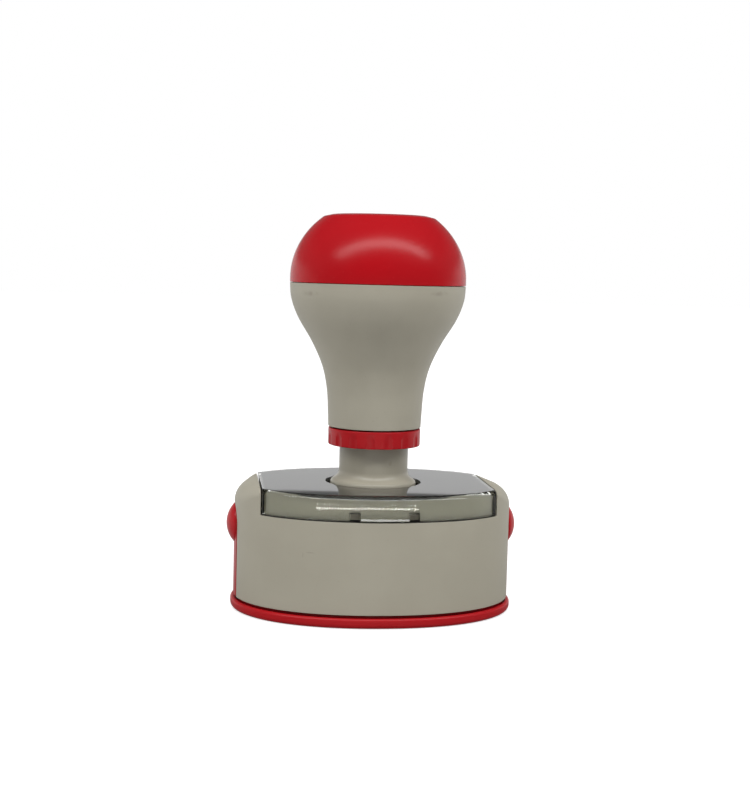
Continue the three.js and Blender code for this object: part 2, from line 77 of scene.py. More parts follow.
camera = bpy.data.objects.new("camera", bpy.data.cameras.new("camera"))
scene.collection.objects.link(camera)
camera.data.lens = CAMERA_LENS
camera.data.clip_start = 0.01
camera.location = (
    CAMERA_DISTANCE * math.sin(CAMERA_TURN) * MM,
    -CAMERA_DISTANCE * math.cos(CAMERA_TURN) * MM,
    CAMERA_HEIGHT * MM,
)
aim = (
    Matrix.Rotation(CAMERA_TURN, 4, "Z")
    @ Matrix.Rotation(math.pi / 2 + CAMERA_PITCH, 4, "X")
    @ Matrix.Rotation(CAMERA_ROLL, 4, "Z")
)
camera.rotation_euler = aim.to_euler()
scene.camera = camera
print("camera at", [round(v, 4) for v in camera.location])

# %% [markdown]
# Node trees, written as sums.
#
# Both materials and Geometry Nodes are graphs. A long graph is hard to read as a list of links, so a
# small class wraps an output socket and gives it plus, minus, times and divide. One method adds any
# other node: first its settings, then the values or wires of its sockets.

# %% A wire that can be added and multiplied
class Wire:
    """An output socket that takes part in arithmetic."""

    def __init__(self, graph, socket):
        self.graph, self.socket = graph, socket

    def maths(self, operation, *values):
        return self.graph.add("ShaderNodeMath", {"operation": operation}, dict(enumerate(values)))

    def __add__(self, other):
        return self.maths("ADD", self, other)

    def __mul__(self, other):
        return self.maths("MULTIPLY", self, other)

    def __sub__(self, other):
        return self.maths("SUBTRACT", self, other)

    def __rsub__(self, other):
        return self.maths("SUBTRACT", other, self)

    def __truediv__(self, other):
        return self.maths("DIVIDE", self, other)

    __radd__ = __add__
    __rmul__ = __mul__

    def between(self, low, high):
        """0 below low, 1 above high, and a smooth step from one to the other."""
        ports = {"Value": self, "From Min": low, "From Max": high}
        return self.graph.add("ShaderNodeMapRange", {"interpolation_type": "SMOOTHSTEP"}, ports)


class Graph:
    """A node tree under construction."""

    def __init__(self, tree):
        self.tree = tree
        tree.nodes.clear()

    def add(self, kind, settings=None, sockets=None, out=0):
        node = self.tree.nodes.new(kind)
        for name, value in (settings or {}).items():
            setattr(node, name, value)
        for name, value in (sockets or {}).items():
            if isinstance(value, Wire):
                self.tree.links.new(value.socket, node.inputs[name])
            else:
                node.inputs[name].default_value = value
        return Wire(self, node.outputs[out]) if len(node.outputs) else node


# %% [markdown]
# Meshes in millimetres.
#
# Every piece is drawn in millimetres as a closed mesh. The openings of a moulding are cut by solid
# tools, as a mould's own slides and pins form them, and the tool is used up in the cut. The booleans
# are the exact kind that keep a mesh closed, so each piece stays a true solid.

# %% Mesh helpers
MERGE = 1e-4


def mesh_object(name, points, faces):
    mesh = bpy.data.meshes.new(name)
    mesh.from_pydata([tuple(map(float, p)) for p in points], [], faces)
    shaped = bpy.data.objects.new(name, mesh)
    scene.collection.objects.link(shaped)
    return tidied(shaped)


def tidied(shaped):
    """Merges doubles and points the faces outwards."""
    work = bmesh.new()
    work.from_mesh(shaped.data)
    bmesh.ops.remove_doubles(work, verts=work.verts, dist=MERGE)
    bmesh.ops.recalc_face_normals(work, faces=work.faces)
    work.to_mesh(shaped.data)
    work.free()
    return shaped


def settled(shaped):
    """Turns what the modifiers make into a plain mesh."""
    bpy.context.view_layer.update()
    graph = bpy.context.evaluated_depsgraph_get()
    mesh = bpy.data.meshes.new_from_object(shaped.evaluated_get(graph))
    shaped.modifiers.clear()
    shaped.data = mesh
    return shaped


def combined(first, operation, *tools):
    """Joins, cuts or intersects a mesh with others, which are used up."""
    for tool in tools:
        step = first.modifiers.new("step", "BOOLEAN")
        step.operation, step.solver, step.object = operation, "MANIFOLD", tool
    settled(first)
    for tool in tools:
        bpy.data.objects.remove(tool)
    return first


def cut(first, *tools):
    return combined(first, "DIFFERENCE", *tools)


def joined(first, *tools):
    return combined(first, "UNION", *tools)


def kept(first, *tools):
    return combined(first, "INTERSECT", *tools)


# %% [markdown]
# Lofts, blocks and eased outlines.
#
# Two ways of drawing make nearly every piece here. A loft joins rings of points, which suits the oval
# mouldings. An outline of corners suits all that is turned, and since no moulded corner is truly
# sharp, its corners are eased first: each is cut back by a small reach and rounded in a few steps.
# That thin rounding is what catches the light.

# %% Lofts, blocks and eased outlines
def loft(name, rings):
    """A closed body through rings of points, capped at both ends."""
    count = len(rings[0])
    points = np.concatenate(rings)
    faces = [
        (r * count + i, r * count + (i + 1) % count, (r + 1) * count + (i + 1) % count, (r + 1) * count + i)
        for r in range(len(rings) - 1)
        for i in range(count)
    ]
    faces.append(tuple(reversed(range(count))))
    faces.append(tuple(range((len(rings) - 1) * count, len(rings) * count)))
    return mesh_object(name, points, faces)


def block(low, high):
    corners = [(x, y, z) for x in (low[0], high[0]) for y in (low[1], high[1]) for z in (low[2], high[2])]
    faces = [(0, 1, 3, 2), (4, 6, 7, 5), (0, 4, 5, 1), (2, 3, 7, 6), (0, 2, 6, 4), (1, 5, 7, 3)]
    return mesh_object("block", corners, faces)


GENTLE_BEND = math.cos(math.radians(16))
SHARE_OF_SIDE = 0.45


def eased(points, radius, steps=3):
    """Rounds an open outline's corners, but leaves the gentle bends of its curves alone."""
    points = [np.array(p, float) for p in points]
    soft = [points[0]]
    for before, corner, after in zip(points, points[1:], points[2:]):
        back, ahead = before - corner, after - corner
        back_length, ahead_length = np.linalg.norm(back), np.linalg.norm(ahead)
        if -np.dot(back, ahead) / back_length / ahead_length > GENTLE_BEND:
            soft.append(corner)
            continue
        reach = min(radius, SHARE_OF_SIDE * back_length, SHARE_OF_SIDE * ahead_length)
        start, end = corner + back / back_length * reach, corner + ahead / ahead_length * reach
        for k in range(steps + 1):
            t = k / steps
            soft.append((1 - t) ** 2 * start + 2 * t * (1 - t) * corner + t * t * end)
    return soft + [points[-1]]


def arc(centre, across, up, start, stop, steps):
    """Points of an ellipse from one angle to another, in degrees."""
    angles = np.radians(np.linspace(start, stop, steps + 1))
    return [(centre[0] + across * math.cos(a), centre[1] + up * math.sin(a)) for a in angles]


print("mesh helpers ready")

# %% [markdown]
# The turning lathe, as Geometry Nodes.
#
# The knob, the stem, the ring, the washers and the screws all follow one rule: an outline swept once
# round an axis. The tree takes that outline as a row of points, lays a grid whose rows are the
# outline and whose columns are turns about the axis, and welds the seam and the poles.

# %% Geometry Nodes helpers
def node_group(name, **inputs):
    """A new tree with a geometry in, a geometry out, and inputs whose names are listed by their kind."""
    group = bpy.data.node_groups.new(name, "GeometryNodeTree")
    ports = group.interface
    ports.new_socket("Geometry", in_out="OUTPUT", socket_type="NodeSocketGeometry")
    ports.new_socket("Geometry", in_out="INPUT", socket_type="NodeSocketGeometry")
    for kind, labels in {**inputs, "Material": "Material"}.items():
        for label in labels.split():
            ports.new_socket(label, in_out="INPUT", socket_type="NodeSocket" + kind)
    graph = Graph(group)
    entry = graph.tree.nodes.new("NodeGroupInput")
    return graph, {s.name: Wire(graph, s) for s in entry.outputs if s.name}


def closed_off(graph, geometry, material):
    """Realize Instances, then Set Material, then the way out."""
    real = graph.add("GeometryNodeRealizeInstances", None, {"Geometry": geometry})
    dressed = graph.add("GeometryNodeSetMaterial", None, {"Geometry": real, "Material": material})
    graph.add("NodeGroupOutput", None, {"Geometry": dressed})


def less(graph, mesh, tools):
    """One mesh cut by others, inside a tree."""
    settings = {"operation": "DIFFERENCE", "solver": "MANIFOLD"}
    return graph.add("GeometryNodeMeshBoolean", settings, {"Mesh 1": mesh, "Mesh 2": tools})


def grown(shaped, group, values):
    """Runs a tree on an object and keeps the result as a plain mesh."""
    step = shaped.modifiers.new("grow", "NODES")
    step.node_group = group
    ids = {s.name: s.identifier for s in group.interface.items_tree if s.in_out == "INPUT"}
    for label, value in values.items():
        step[ids[label]] = value
    return settled(shaped)


lathe_graph, lathe = node_group("lathe", Int="Facets")
outline_size = lathe_graph.add("GeometryNodeAttributeDomainSize", None, {"Geometry": lathe["Geometry"]})
columns = lathe["Facets"] + 1
grid = lathe_graph.add("GeometryNodeMeshGrid", None, {"Vertices X": columns, "Vertices Y": outline_size})
number = lathe_graph.add("GeometryNodeInputIndex")
column = number.maths("FLOOR", (number + 0.5) / outline_size)
outline_place = lathe_graph.add(
    "GeometryNodeSampleIndex",
    {"data_type": "FLOAT_VECTOR", "domain": "POINT"},
    {
        "Geometry": lathe["Geometry"],
        "Value": lathe_graph.add("GeometryNodeInputPosition"),
        "Index": number - column * outline_size,
    },
)
spun_place = lathe_graph.add(
    "ShaderNodeVectorRotate",
    {"rotation_type": "Z_AXIS"},
    {"Vector": outline_place, "Angle": column / lathe["Facets"] * (2 * math.pi)},
)
spun = lathe_graph.add("GeometryNodeSetPosition", None, {"Geometry": grid, "Position": spun_place})
welded = lathe_graph.add("GeometryNodeMergeByDistance", None, {"Geometry": spun, "Distance": MERGE})
closed_off(lathe_graph, welded, lathe["Material"])


def turned(name, outline, facets=128, soft=0.0):
    """A body of revolution about Z from points of radius and height."""
    points = eased(outline, soft) if soft else [np.array(p, float) for p in outline]
    row = [(float(r), 0.0, float(h)) for r, h in points]
    mesh = bpy.data.meshes.new(name)
    mesh.from_pydata(row, [(i, i + 1) for i in range(len(row) - 1)], [])
    shaped = bpy.data.objects.new(name, mesh)
    scene.collection.objects.link(shaped)
    return tidied(grown(shaped, lathe_graph.tree, {"Facets": facets}))


print("lathe ready:", len(lathe_graph.tree.nodes), "nodes")

# %% [markdown]
# Moulded plastic.
#
# The stamp is mostly two plastics, a greige one and a red one, with the same satin finish from a
# lightly blasted mould. Up close such a surface is not one colour: the pigment clouds a little, there
# are fine specks, and the gloss wanders. A shallow grain in the bump breaks the highlights into the
# soft sparkle that the photograph shows on the cap. All patterns are read from Object coordinates,
# so they stay on the piece when it moves.

# %% The plastic recipe
def fresh_material(name):
    material = bpy.data.materials.new(name)
    material.use_nodes = True
    return material, Graph(material.node_tree)


def object_place(graph):
    return graph.add("ShaderNodeTexCoord", out="Object")


def noise(graph, size, detail=2.0, where=None, rough=0.5):
    """Clouds whose blobs are about this many millimetres across."""
    ports = {"Vector": where or object_place(graph), "Scale": 1 / (size * MM)}
    ports = {**ports, "Detail": detail, "Roughness": rough}
    return graph.add("ShaderNodeTexNoise", None, ports)


def blend(graph, factor, first, second):
    """One colour over another. A colour is three numbers, or a wire."""
    first, second = (c if isinstance(c, Wire) else (*c, 1) for c in (first, second))
    return graph.add("ShaderNodeMix", {"data_type": "RGBA"}, {0: factor, 6: first, 7: second}, out=2)


def finished(graph, **ports):
    """The Principled shader on the material's output."""
    names = {key.replace("_", " "): value for key, value in ports.items()}
    names = {("IOR" if key == "Ior" else key): value for key, value in names.items()}
    shader = graph.add("ShaderNodeBsdfPrincipled", None, names)
    graph.add("ShaderNodeOutputMaterial", None, {"Surface": shader})


def bumped(graph, height, depth, strength=1.0, under=None):
    """A bump from a height between 0 and 1, this many millimetres deep."""
    ports = {"Height": height, "Distance": depth * MM, "Strength": strength}
    if under:
        ports["Normal"] = under
    return graph.add("ShaderNodeBump", None, ports)


def plastic(name, colour, cloud, speck, gloss, shine=0.4, grain=0.012, marks=None):
    """Satin moulded plastic. The marks are a function that adds marks of its own to the colour, painted shade
    among them.
    """
    material, graph = fresh_material(name)
    clouds = noise(graph, 14, 3).between(0.35, 0.65)
    body = blend(graph, clouds, colour, cloud)
    specks = noise(graph, 0.45, 2).between(0.66, 0.78)
    tone = blend(graph, specks * 0.35, body, speck)
    wander = noise(graph, 5, 2) * 0.05 + (gloss - 0.025)
    if marks:
        tone, wander = marks(graph, tone, wander)
    pores = noise(graph, 0.3, 3, rough=0.65)
    swell = noise(graph, 9, 1)
    shape = bumped(graph, pores, grain, 0.75, bumped(graph, swell, 0.05, 0.3))
    finished(graph, Base_Color=tone, Roughness=wander, Normal=shape, Specular_IOR_Level=shine)
    return material


# %% [markdown]
# The two plastics of the stamp, and their small stories.
#
# The knob shows two faint sink marks under the seam, where ribs meet the wall inside; their dips are
# painted shade in the colour. The housing has one short scratch low on its front left. The deck under
# the window is printed black on top, so that the window looks dark from above, while its side walls
# stay greige, as seen through the front. The same black reaches over the sill at the window's foot,
# as painted shade in the gap under the window. Printing is duller than moulded plastic, so the same
# mask roughens it. The marks are masks made from Object coordinates, mixed into the colour only as
# strongly as the photograph shows them.

# %% Greige and red
def blot(graph, centre, reach, softness=1.0):
    """1 at a point on the surface, fading to 0 at the given reach along each axis, in millimetres."""
    ports = {
        "Vector": object_place(graph),
        "Location": [-c / r for c, r in zip(centre, reach)],
        "Scale": [1 / (r * MM) for r in reach],
    }
    moved = graph.add("ShaderNodeMapping", None, ports)
    away = graph.add("ShaderNodeVectorMath", {"operation": "LENGTH"}, {0: moved}, out=1)
    return 1 - away.between(1 - softness, 1)


SINK_SHADE = (0.16, 0.13, 0.10)
SCRATCH_SHADE = (0.20, 0.20, 0.17)
PRINT_AND_SHADE_TONES = ((0.020, 0.019, 0.017), (0.032, 0.030, 0.026))
MATTE = 0.95


def knob_marks(graph, tone, rough):
    sink_left = blot(graph, (-14.6, -10.5, 64.6), (3.2, 4.0, 0.8))
    sink_right = blot(graph, (10.4, -14.4, 65.2), (3.0, 4.0, 0.7))
    # The sink marks are painted shade: a darker colour where their dips would fall in shade.
    sink_shade_mask = (sink_left + sink_right) * noise(graph, 1.2, 2).between(0.3, 0.7)
    return blend(graph, sink_shade_mask * 0.35, tone, SINK_SHADE), rough


# Each pair of millimetres is where a mask begins and where it is full. The dark mask covers the deck's
# top as print and the sill from its edge up as painted shade in the gap under the window, and leaves
# out the deck's wall, whose top edge is seen to bow a little.
PRINT_AND_SHADE_FOOT = (20.83, 20.85)
PRINT_AND_SHADE_END = (23.5, 23.55)
MATTE_END = (23.72, 23.76)
WALL_FOOT = (21.0, 21.05)
WALL_HEAD = (24.68, 24.72)
WALL_BOW = 0.0006


def housing_marks(graph, tone, rough):
    split = graph.add("ShaderNodeSeparateXYZ", None, {"Vector": object_place(graph)})
    up = Wire(graph, split.socket.node.outputs["Z"]) / MM
    out = split.maths("ABSOLUTE", split / MM)
    over_sill = up.between(*PRINT_AND_SHADE_FOOT)
    wall = up.between(*WALL_FOOT) * (1 - (up - out * out * WALL_BOW).between(*WALL_HEAD))
    # Dark from the sill up: painted shade on the sill in the gap under the window, print on the deck's top.
    print_and_sill_shade = over_sill * (1 - wall) * (1 - out.between(*PRINT_AND_SHADE_END))
    dark_mottle = noise(graph, 0.8, 3)
    print_and_shade_tone = blend(graph, dark_mottle, *PRINT_AND_SHADE_TONES)
    tone = blend(graph, print_and_sill_shade, tone, print_and_shade_tone)
    matte = over_sill * (1 - out.between(*MATTE_END)) * (1 - wall)
    rough = rough + matte * (MATTE - rough)
    scratch = blot(graph, (-14.2, -18.2, 14.6), (1.1, 3.0, 0.16), 0.6)
    nick = blot(graph, (-15.6, -17.6, 14.0), (0.12, 3.0, 0.7), 0.6)
    return blend(graph, (scratch + nick) * 0.3, tone, SCRATCH_SHADE), rough


GREIGE = (0.388, 0.364, 0.292)
GREIGE_CLOUD = (0.370, 0.346, 0.276)
GREIGE_SPECK = (0.30, 0.27, 0.22)
RED = (0.425, 0.0034, 0.0078)
RED_CLOUD = (0.412, 0.0038, 0.0082)
RED_SPECK = (0.50, 0.022, 0.026)

knob_greige = plastic("knob_greige", GREIGE, GREIGE_CLOUD, GREIGE_SPECK, 0.46, marks=knob_marks)
housing_greige = plastic("housing_greige", GREIGE, GREIGE_CLOUD, GREIGE_SPECK, 0.48, marks=housing_marks)
stem_greige = plastic("stem_greige", GREIGE, GREIGE_CLOUD, GREIGE_SPECK, 0.28)
cap_red = plastic("cap_red", RED, RED_CLOUD, RED_SPECK, 0.26, shine=0.24, grain=0.014)
trim_red = plastic("trim_red", RED, RED_CLOUD, RED_SPECK, 0.34, shine=0.3)
natural = plastic("natural_white", (0.66, 0.64, 0.58), (0.61, 0.59, 0.53), (0.5, 0.48, 0.42), 0.42)
print("plastics ready")

# %% [markdown]
# Smoky clear plastic, steel, felt and foam.
#
# The window is a tinted clear moulding, so it is a glass-like shader with a colour that the light
# picks up on its way through. The underside of its top is backed in black. That backing must be part
# of the window: a clear plate with air beneath it would carry light sideways and look bright at its
# edge. The spring and screws are zinc steel, drawn or rolled, with fine streaks. The ink pad is a
# dense felt soaked dark red, and the die is a fine-pored black foam.

# %% Window, backing, steel, felt, foam
def smoky_clear():
    material, graph = fresh_material("smoky_clear")
    tint = blend(graph, noise(graph, 11, 2), (0.87, 0.885, 0.835), (0.84, 0.855, 0.805))
    flow = noise(graph, 6, 1)
    haze = noise(graph, 4, 2)
    finished(
        graph,
        Base_Color=tint,
        Roughness=haze * 0.012 + 0.01,
        Normal=bumped(graph, flow, 0.004, 0.1),
        Transmission_Weight=1.0,
        Ior=1.49,
    )
    return material


def steel(name, bright, streak_turn):
    material, graph = fresh_material(name)
    ports = {"Vector": object_place(graph), "Scale": streak_turn}
    stretched = graph.add("ShaderNodeMapping", None, ports)
    streaks = noise(graph, 0.25, 3, stretched)
    patina = noise(graph, 2.5, 3)
    finished(
        graph,
        Base_Color=blend(graph, patina, bright, [0.8 * c for c in bright]),
        Metallic=1.0,
        Roughness=streaks * 0.2 + 0.2,
        Normal=bumped(graph, streaks, 0.006, 0.6),
    )
    return material


def ink_felt():
    material, graph = fresh_material("ink_felt")
    fibres = noise(graph, 0.35, 5, rough=0.75)
    damp = noise(graph, 7, 2).between(0.35, 0.7)
    dry = blend(graph, fibres, (0.16, 0.012, 0.016), (0.30, 0.03, 0.035))
    finished(
        graph,
        Base_Color=blend(graph, damp * 0.6, dry, (0.07, 0.006, 0.01)),
        Roughness=0.95 - damp * 0.35,
        Normal=bumped(graph, fibres, 0.08, 1.0),
        Sheen_Weight=0.25,
    )
    return material


def die_foam():
    material, graph = fresh_material("die_foam")
    ports = {"Vector": object_place(graph), "Scale": 1 / (0.3 * MM)}
    cells = graph.add("ShaderNodeTexVoronoi", None, ports)
    pores = cells.between(0.05, 0.45)
    tone = blend(graph, pores, (0.012, 0.012, 0.014), (0.035, 0.034, 0.038))
    finished(
        graph,
        Base_Color=blend(graph, noise(graph, 3, 2) * 0.4, tone, (0.05, 0.012, 0.016)),
        Roughness=0.8 + pores * 0.12,
        Normal=bumped(graph, pores, 0.05, 0.8),
    )
    return material


def black_backing():
    material, graph = fresh_material("black_backing")
    mottle = noise(graph, 1.2, 3)
    finished(
        graph,
        Base_Color=blend(graph, mottle, (0.016, 0.015, 0.014), (0.026, 0.025, 0.022)),
        Roughness=mottle * 0.1 + 0.8,
        Normal=bumped(graph, mottle, 0.01, 0.3),
    )
    return material


window_clear = smoky_clear()
backing_black = black_backing()
spring_steel = steel("spring_steel", (0.56, 0.57, 0.58), (1, 1, 0.25))
zinc_steel = steel("zinc_steel", (0.62, 0.63, 0.64), (1, 0.15, 1))
felt_red = ink_felt()
foam_black = die_foam()
print("clear, black, steel, felt and foam ready")

# %% [markdown]
# Handing a piece over.
#
# Every finished piece goes through the same last steps: smooth shading that still breaks at real
# edges and keeps flat faces flat, down to metres, a material, and then its place in the frame: the
# body it rides on, and the CAD nodes that it stands for, which are hidden. A piece may have a
# backing, a second material on the faces that look down from above a given height.

# %% The last steps of every piece
CRISP = math.radians(32)
LOOKING_DOWN = -0.9


def softened(piece, width):
    """Takes the sharpness off the crisp edges, before any hole is cut through a flat face."""
    bevel = piece.modifiers.new("soft edge", "BEVEL")
    bevel.width, bevel.segments, bevel.limit_method = width, 2, "ANGLE"
    bevel.angle_limit, bevel.use_clamp_overlap = CRISP, False
    bevel.miter_outer = "MITER_ARC"
    return settled(piece)


def handed_over(piece, body, nodes, material, backing=None):
    piece.data.shade_smooth()
    piece.data.set_sharp_from_angle(angle=CRISP)
    flats = piece.modifiers.new("flats stay flat", "WEIGHTED_NORMAL")
    flats.mode, flats.weight, flats.keep_sharp = "FACE_AREA", 50, True
    settled(piece)
    piece.data.transform(Matrix.Scale(MM, 4))
    piece.data.materials.clear()
    piece.data.materials.append(material)
    if backing:
        paint, level = backing
        piece.data.materials.append(paint)
        for face in piece.data.polygons:
            face.material_index = face.normal.z < LOOKING_DOWN and face.center.z > level * MM
    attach(piece, body)
    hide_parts(*nodes)
    size = piece.dimensions / MM
    print(f"{piece.name}: {len(piece.data.polygons)} faces, {size.x:.1f} x {size.y:.1f} x {size.z:.1f} mm")
    return piece


# %% [markdown]
# The housing's oval.
#
# The housing is not quite an ellipse: its sides are a touch fuller, which a superellipse with a power
# of 2.15 gives. Everything that follows the housing, from the window to the dust cover, is the same
# oval drawn in or out by an inset. Where a top edge is rounded, the radius may change along the oval:
# the housing's edge grows softer toward its ends, and the window's grows tighter.

# %% Oval lofts
HALF_LENGTH = 28.5
HALF_WIDTH = 20.9
OVAL_POWER = 2.15
OVAL_SIDES = 208
WINDOW_HALF = 23.7
SEAT_GAP = 0.3
OVERRUN = 1.0

oval_turn = np.linspace(0, 2 * math.pi, OVAL_SIDES, endpoint=False)
oval_x = np.sign(np.cos(oval_turn)) * np.abs(np.cos(oval_turn)) ** (2 / OVAL_POWER)
oval_y = np.sign(np.sin(oval_turn)) * np.abs(np.sin(oval_turn)) ** (2 / OVAL_POWER)


def oval_ring(inset, height):
    inset, height = np.broadcast_to(inset, oval_x.shape), np.broadcast_to(height, oval_x.shape)
    return np.stack([(HALF_LENGTH - inset) * oval_x, (HALF_WIDTH - inset) * oval_y, height], axis=1)


def oval_body(name, outline):
    """A closed oval body through points of inset and height, listed from the foot up."""
    return loft(name, [oval_ring(inset, height) for inset, height in outline])


def oval_block(inset, foot, top):
    return oval_body("oval", [(inset, foot), (inset, top)])


def changing(middle, end, near, far):
    """A radius for each point of the oval, that changes from one value to another along its length."""
    past = np.clip((np.abs(oval_x) * HALF_LENGTH - near) / (far - near), 0, 1)
    return middle + (end - middle) * past * past * (3 - 2 * past)


def rounded_oval(name, inset, foot, top, radius, waists, steps=10):
    """An oval body whose top edge is rounded. Rows of points at its waists keep its wall's shading even."""
    rings = [oval_ring(inset, foot), *[oval_ring(inset, waist) for waist in waists]]
    for turn in np.linspace(0, math.pi / 2, steps + 1):
        rings.append(oval_ring(inset + radius * (1 - math.cos(turn)), top - radius * (1 - math.sin(turn))))
    return loft(name, rings)


def slab(left, right, foot, top):
    return block((left, -2 * HALF_WIDTH, foot), (right, 2 * HALF_WIDTH, top))


def flared_rod(radius, foot, top, flare, facets=128):
    """A cutter for a hole whose upper rim, at the given top, is rounded over."""
    section = [(0, foot), (radius, foot), *arc((radius + flare, top - flare), flare, flare, 180, 90, 5)]
    return turned("rod", [*section, (radius + flare, top + OVERRUN), (0, top + OVERRUN)], facets)


def rod(radius, foot, top, facets=64, x=0.0, y=0.0):
    made = turned("rod", [(0, foot), (radius, foot), (radius, top), (0, top)], facets)
    made.data.transform(Matrix.Translation((x, y, 0)))
    return made


def two_rods(radius, foot, top, facets, x, y=0.0):
    """A rod at a place, and its twin on the other side of the stem."""
    return [rod(radius, foot, top, facets, side * x, side * y) for side in (-1, 1)]


def placed(shaped, place, turn=0.0, axis="X"):
    shaped.data.transform(Matrix.Translation(place) @ Matrix.Rotation(math.radians(turn), 4, axis))
    return shaped


def turned_over(shaped, side):
    """Half a turn about the stem for the left side, which has side -1."""
    shaped.data.transform(Matrix.Rotation(0 if side > 0 else math.pi, 4, "Z"))
    return shaped


print("the oval is", 2 * HALF_LENGTH, "x", 2 * HALF_WIDTH, "mm, with", OVAL_SIDES, "sides")


# %% [markdown]
# The housing.
#
# A casing like this is one moulding: an oval shell with two full-height ends, a low middle that the
# window sits in, and an inner deck under the window with a hole for the stem. It is built as such a
# tool would be cut: the outer shell first, then the window's gap, the deck, the hollows below, and
# last the slots for the two release arms. Round the stem's hole the deck steps down to a shallow
# well, so that the pressure ring has room when it is turned right down and the handle is pressed. Two
# small pockets behind the window's latch are what shows as dark squares at the foot of the window.

# %% Housing
FOOT = 2.6
TOP = 25.95
SILL = 20.85
SHELL_WALL = 1.8
SILL_UNDERSIDE = SILL - SHELL_WALL
COVER_WALL = 1.5
COVER_PLATE = 0.7
COVER_END = 0.6
DECK_INSET = COVER_WALL + SEAT_GAP
DECK_TOP = TOP - COVER_PLATE - SEAT_GAP / 2
DECK_UNDERSIDE = TOP - COVER_WALL - SEAT_GAP - 2.0
DECK_WALL = 1.7
DECK_HALF = WINDOW_HALF - SEAT_GAP - COVER_END - SEAT_GAP
SIDE_ROUNDING = 1.5
END_ROUNDING = 4.2
WAIST_DROP = 1.5
SKIRT_RADIUS = 8.84
STEM_HOLE = SKIRT_RADIUS + 0.3
RING_WELL = 9.75
RING_WELL_FLOOR = TOP - COVER_WALL - SEAT_GAP
POST_REACH = 16.5
SOCKET_BORE = 2.2
SOCKET_WALL = 1.0
SOCKET_FOOT = 15.95
PILOT_BORE = 1.1
PILOT_DEPTH = 1.7
BUTTON_RADIUS = 4.0
BUTTON_HEIGHT = 17.25
NOTCH_HALF = BUTTON_RADIUS + 0.4
NOTCH_DEPTH = 4.5
TONGUE_HALF = 4.75
TONGUE_SLOT = 2.1
TONGUE_SLOT_HEIGHT = 1.4
POCKET_DEPTH = 0.45
EAR_REACH = 13.34
EAR_TURN = math.radians(45)
EAR_PLACE = (EAR_REACH * math.sin(EAR_TURN), EAR_REACH * math.cos(EAR_TURN))


def arm_notch(side):
    near, far = HALF_LENGTH - NOTCH_DEPTH, HALF_LENGTH + OVERRUN
    channel = block((near, -NOTCH_HALF, FOOT - OVERRUN), (far, NOTCH_HALF, BUTTON_HEIGHT))
    head = placed(rod(NOTCH_HALF, near, far, 64), (0, 0, BUTTON_HEIGHT), 90, "Y")
    return turned_over(joined(channel, head), side)


def beside_tongue(foot, top, side):
    """A slab over the slot beside the latch tongue."""
    return slab(*sorted((side * TONGUE_HALF, side * (TONGUE_HALF + TONGUE_SLOT))), foot, top)


def made_housing():
    rounding = changing(SIDE_ROUNDING, END_ROUNDING, WINDOW_HALF, HALF_LENGTH)
    shell = rounded_oval("housing_shell", 0, FOOT, TOP, rounding, [SILL - WAIST_DROP])
    cut(shell, slab(-WINDOW_HALF, WINDOW_HALF, SILL, TOP + OVERRUN))
    deck = kept(oval_block(DECK_INSET, SILL_UNDERSIDE, DECK_TOP), slab(-DECK_HALF, DECK_HALF, 0, TOP))
    joined(shell, deck)
    cut(shell, oval_block(SHELL_WALL, FOOT - OVERRUN, SILL_UNDERSIDE))
    inner = DECK_HALF - DECK_WALL
    under_deck = kept(oval_block(DECK_INSET + DECK_WALL, FOOT, DECK_UNDERSIDE), slab(-inner, inner, 0, TOP))
    rounding = changing(SIDE_ROUNDING, END_ROUNDING - SHELL_WALL, WINDOW_HALF, HALF_LENGTH)
    in_ends = cut(
        rounded_oval("ends", SHELL_WALL, FOOT, TOP - SHELL_WALL, rounding, [SILL_UNDERSIDE]),
        slab(-WINDOW_HALF - SHELL_WALL, WINDOW_HALF + SHELL_WALL, 0, TOP + OVERRUN),
    )
    cut(shell, under_deck, in_ends)
    cut(shell, arm_notch(-1), arm_notch(1))
    softened(shell, 0.1)
    joined(shell, *two_rods(SOCKET_BORE + SOCKET_WALL, SOCKET_FOOT, DECK_UNDERSIDE + OVERRUN, 32, POST_REACH))
    cut(shell, *two_rods(SOCKET_BORE, FOOT, DECK_UNDERSIDE, 32, POST_REACH))
    cut(shell, rod(RING_WELL, RING_WELL_FLOOR, DECK_TOP + OVERRUN, 160))
    cut(shell, flared_rod(STEM_HOLE, DECK_UNDERSIDE - OVERRUN, RING_WELL_FLOOR, 0.2))
    low, high = DECK_UNDERSIDE - OVERRUN, DECK_UNDERSIDE + PILOT_DEPTH
    cut(shell, *two_rods(PILOT_BORE, low, high, 24, -EAR_PLACE[0], EAR_PLACE[1]))
    for side in (-1, 1):
        pocket = beside_tongue(SILL + 0.1, SILL + SEAT_GAP + TONGUE_SLOT_HEIGHT + 0.2, side)
        cut(shell, cut(pocket, oval_block(DECK_INSET + POCKET_DEPTH, FOOT, TOP)))
    return shell


handed_over(made_housing(), "casing", ["housing"], housing_greige)

# %% [markdown]
# The window cover.
#
# The cover is a clear cap over the deck with a wall all round and a hole for the stem. Its top edge
# is rounded like the housing's. Seen from the front, that rounding mirrors the dark room overhead as
# a black band, with the lamp as a bright line below it. Two slots at the foot of the front wall free
# a small latch tongue. Its lower edge has a lip for the thumbnail, a slope that faces the lamp and
# shines as a short bright line. The back has the same.

# %% Window cover
COVER_FOOT = SILL + SEAT_GAP
COVER_HALF = WINDOW_HALF - SEAT_GAP
COVER_HOLE = 9.9
COVER_END_ROUNDING = 1.1
COVER_WAIST = 1.7
LIP_DEPTH = 0.22
LIP_EDGE = 0.12
LIP_HEIGHT = 0.44


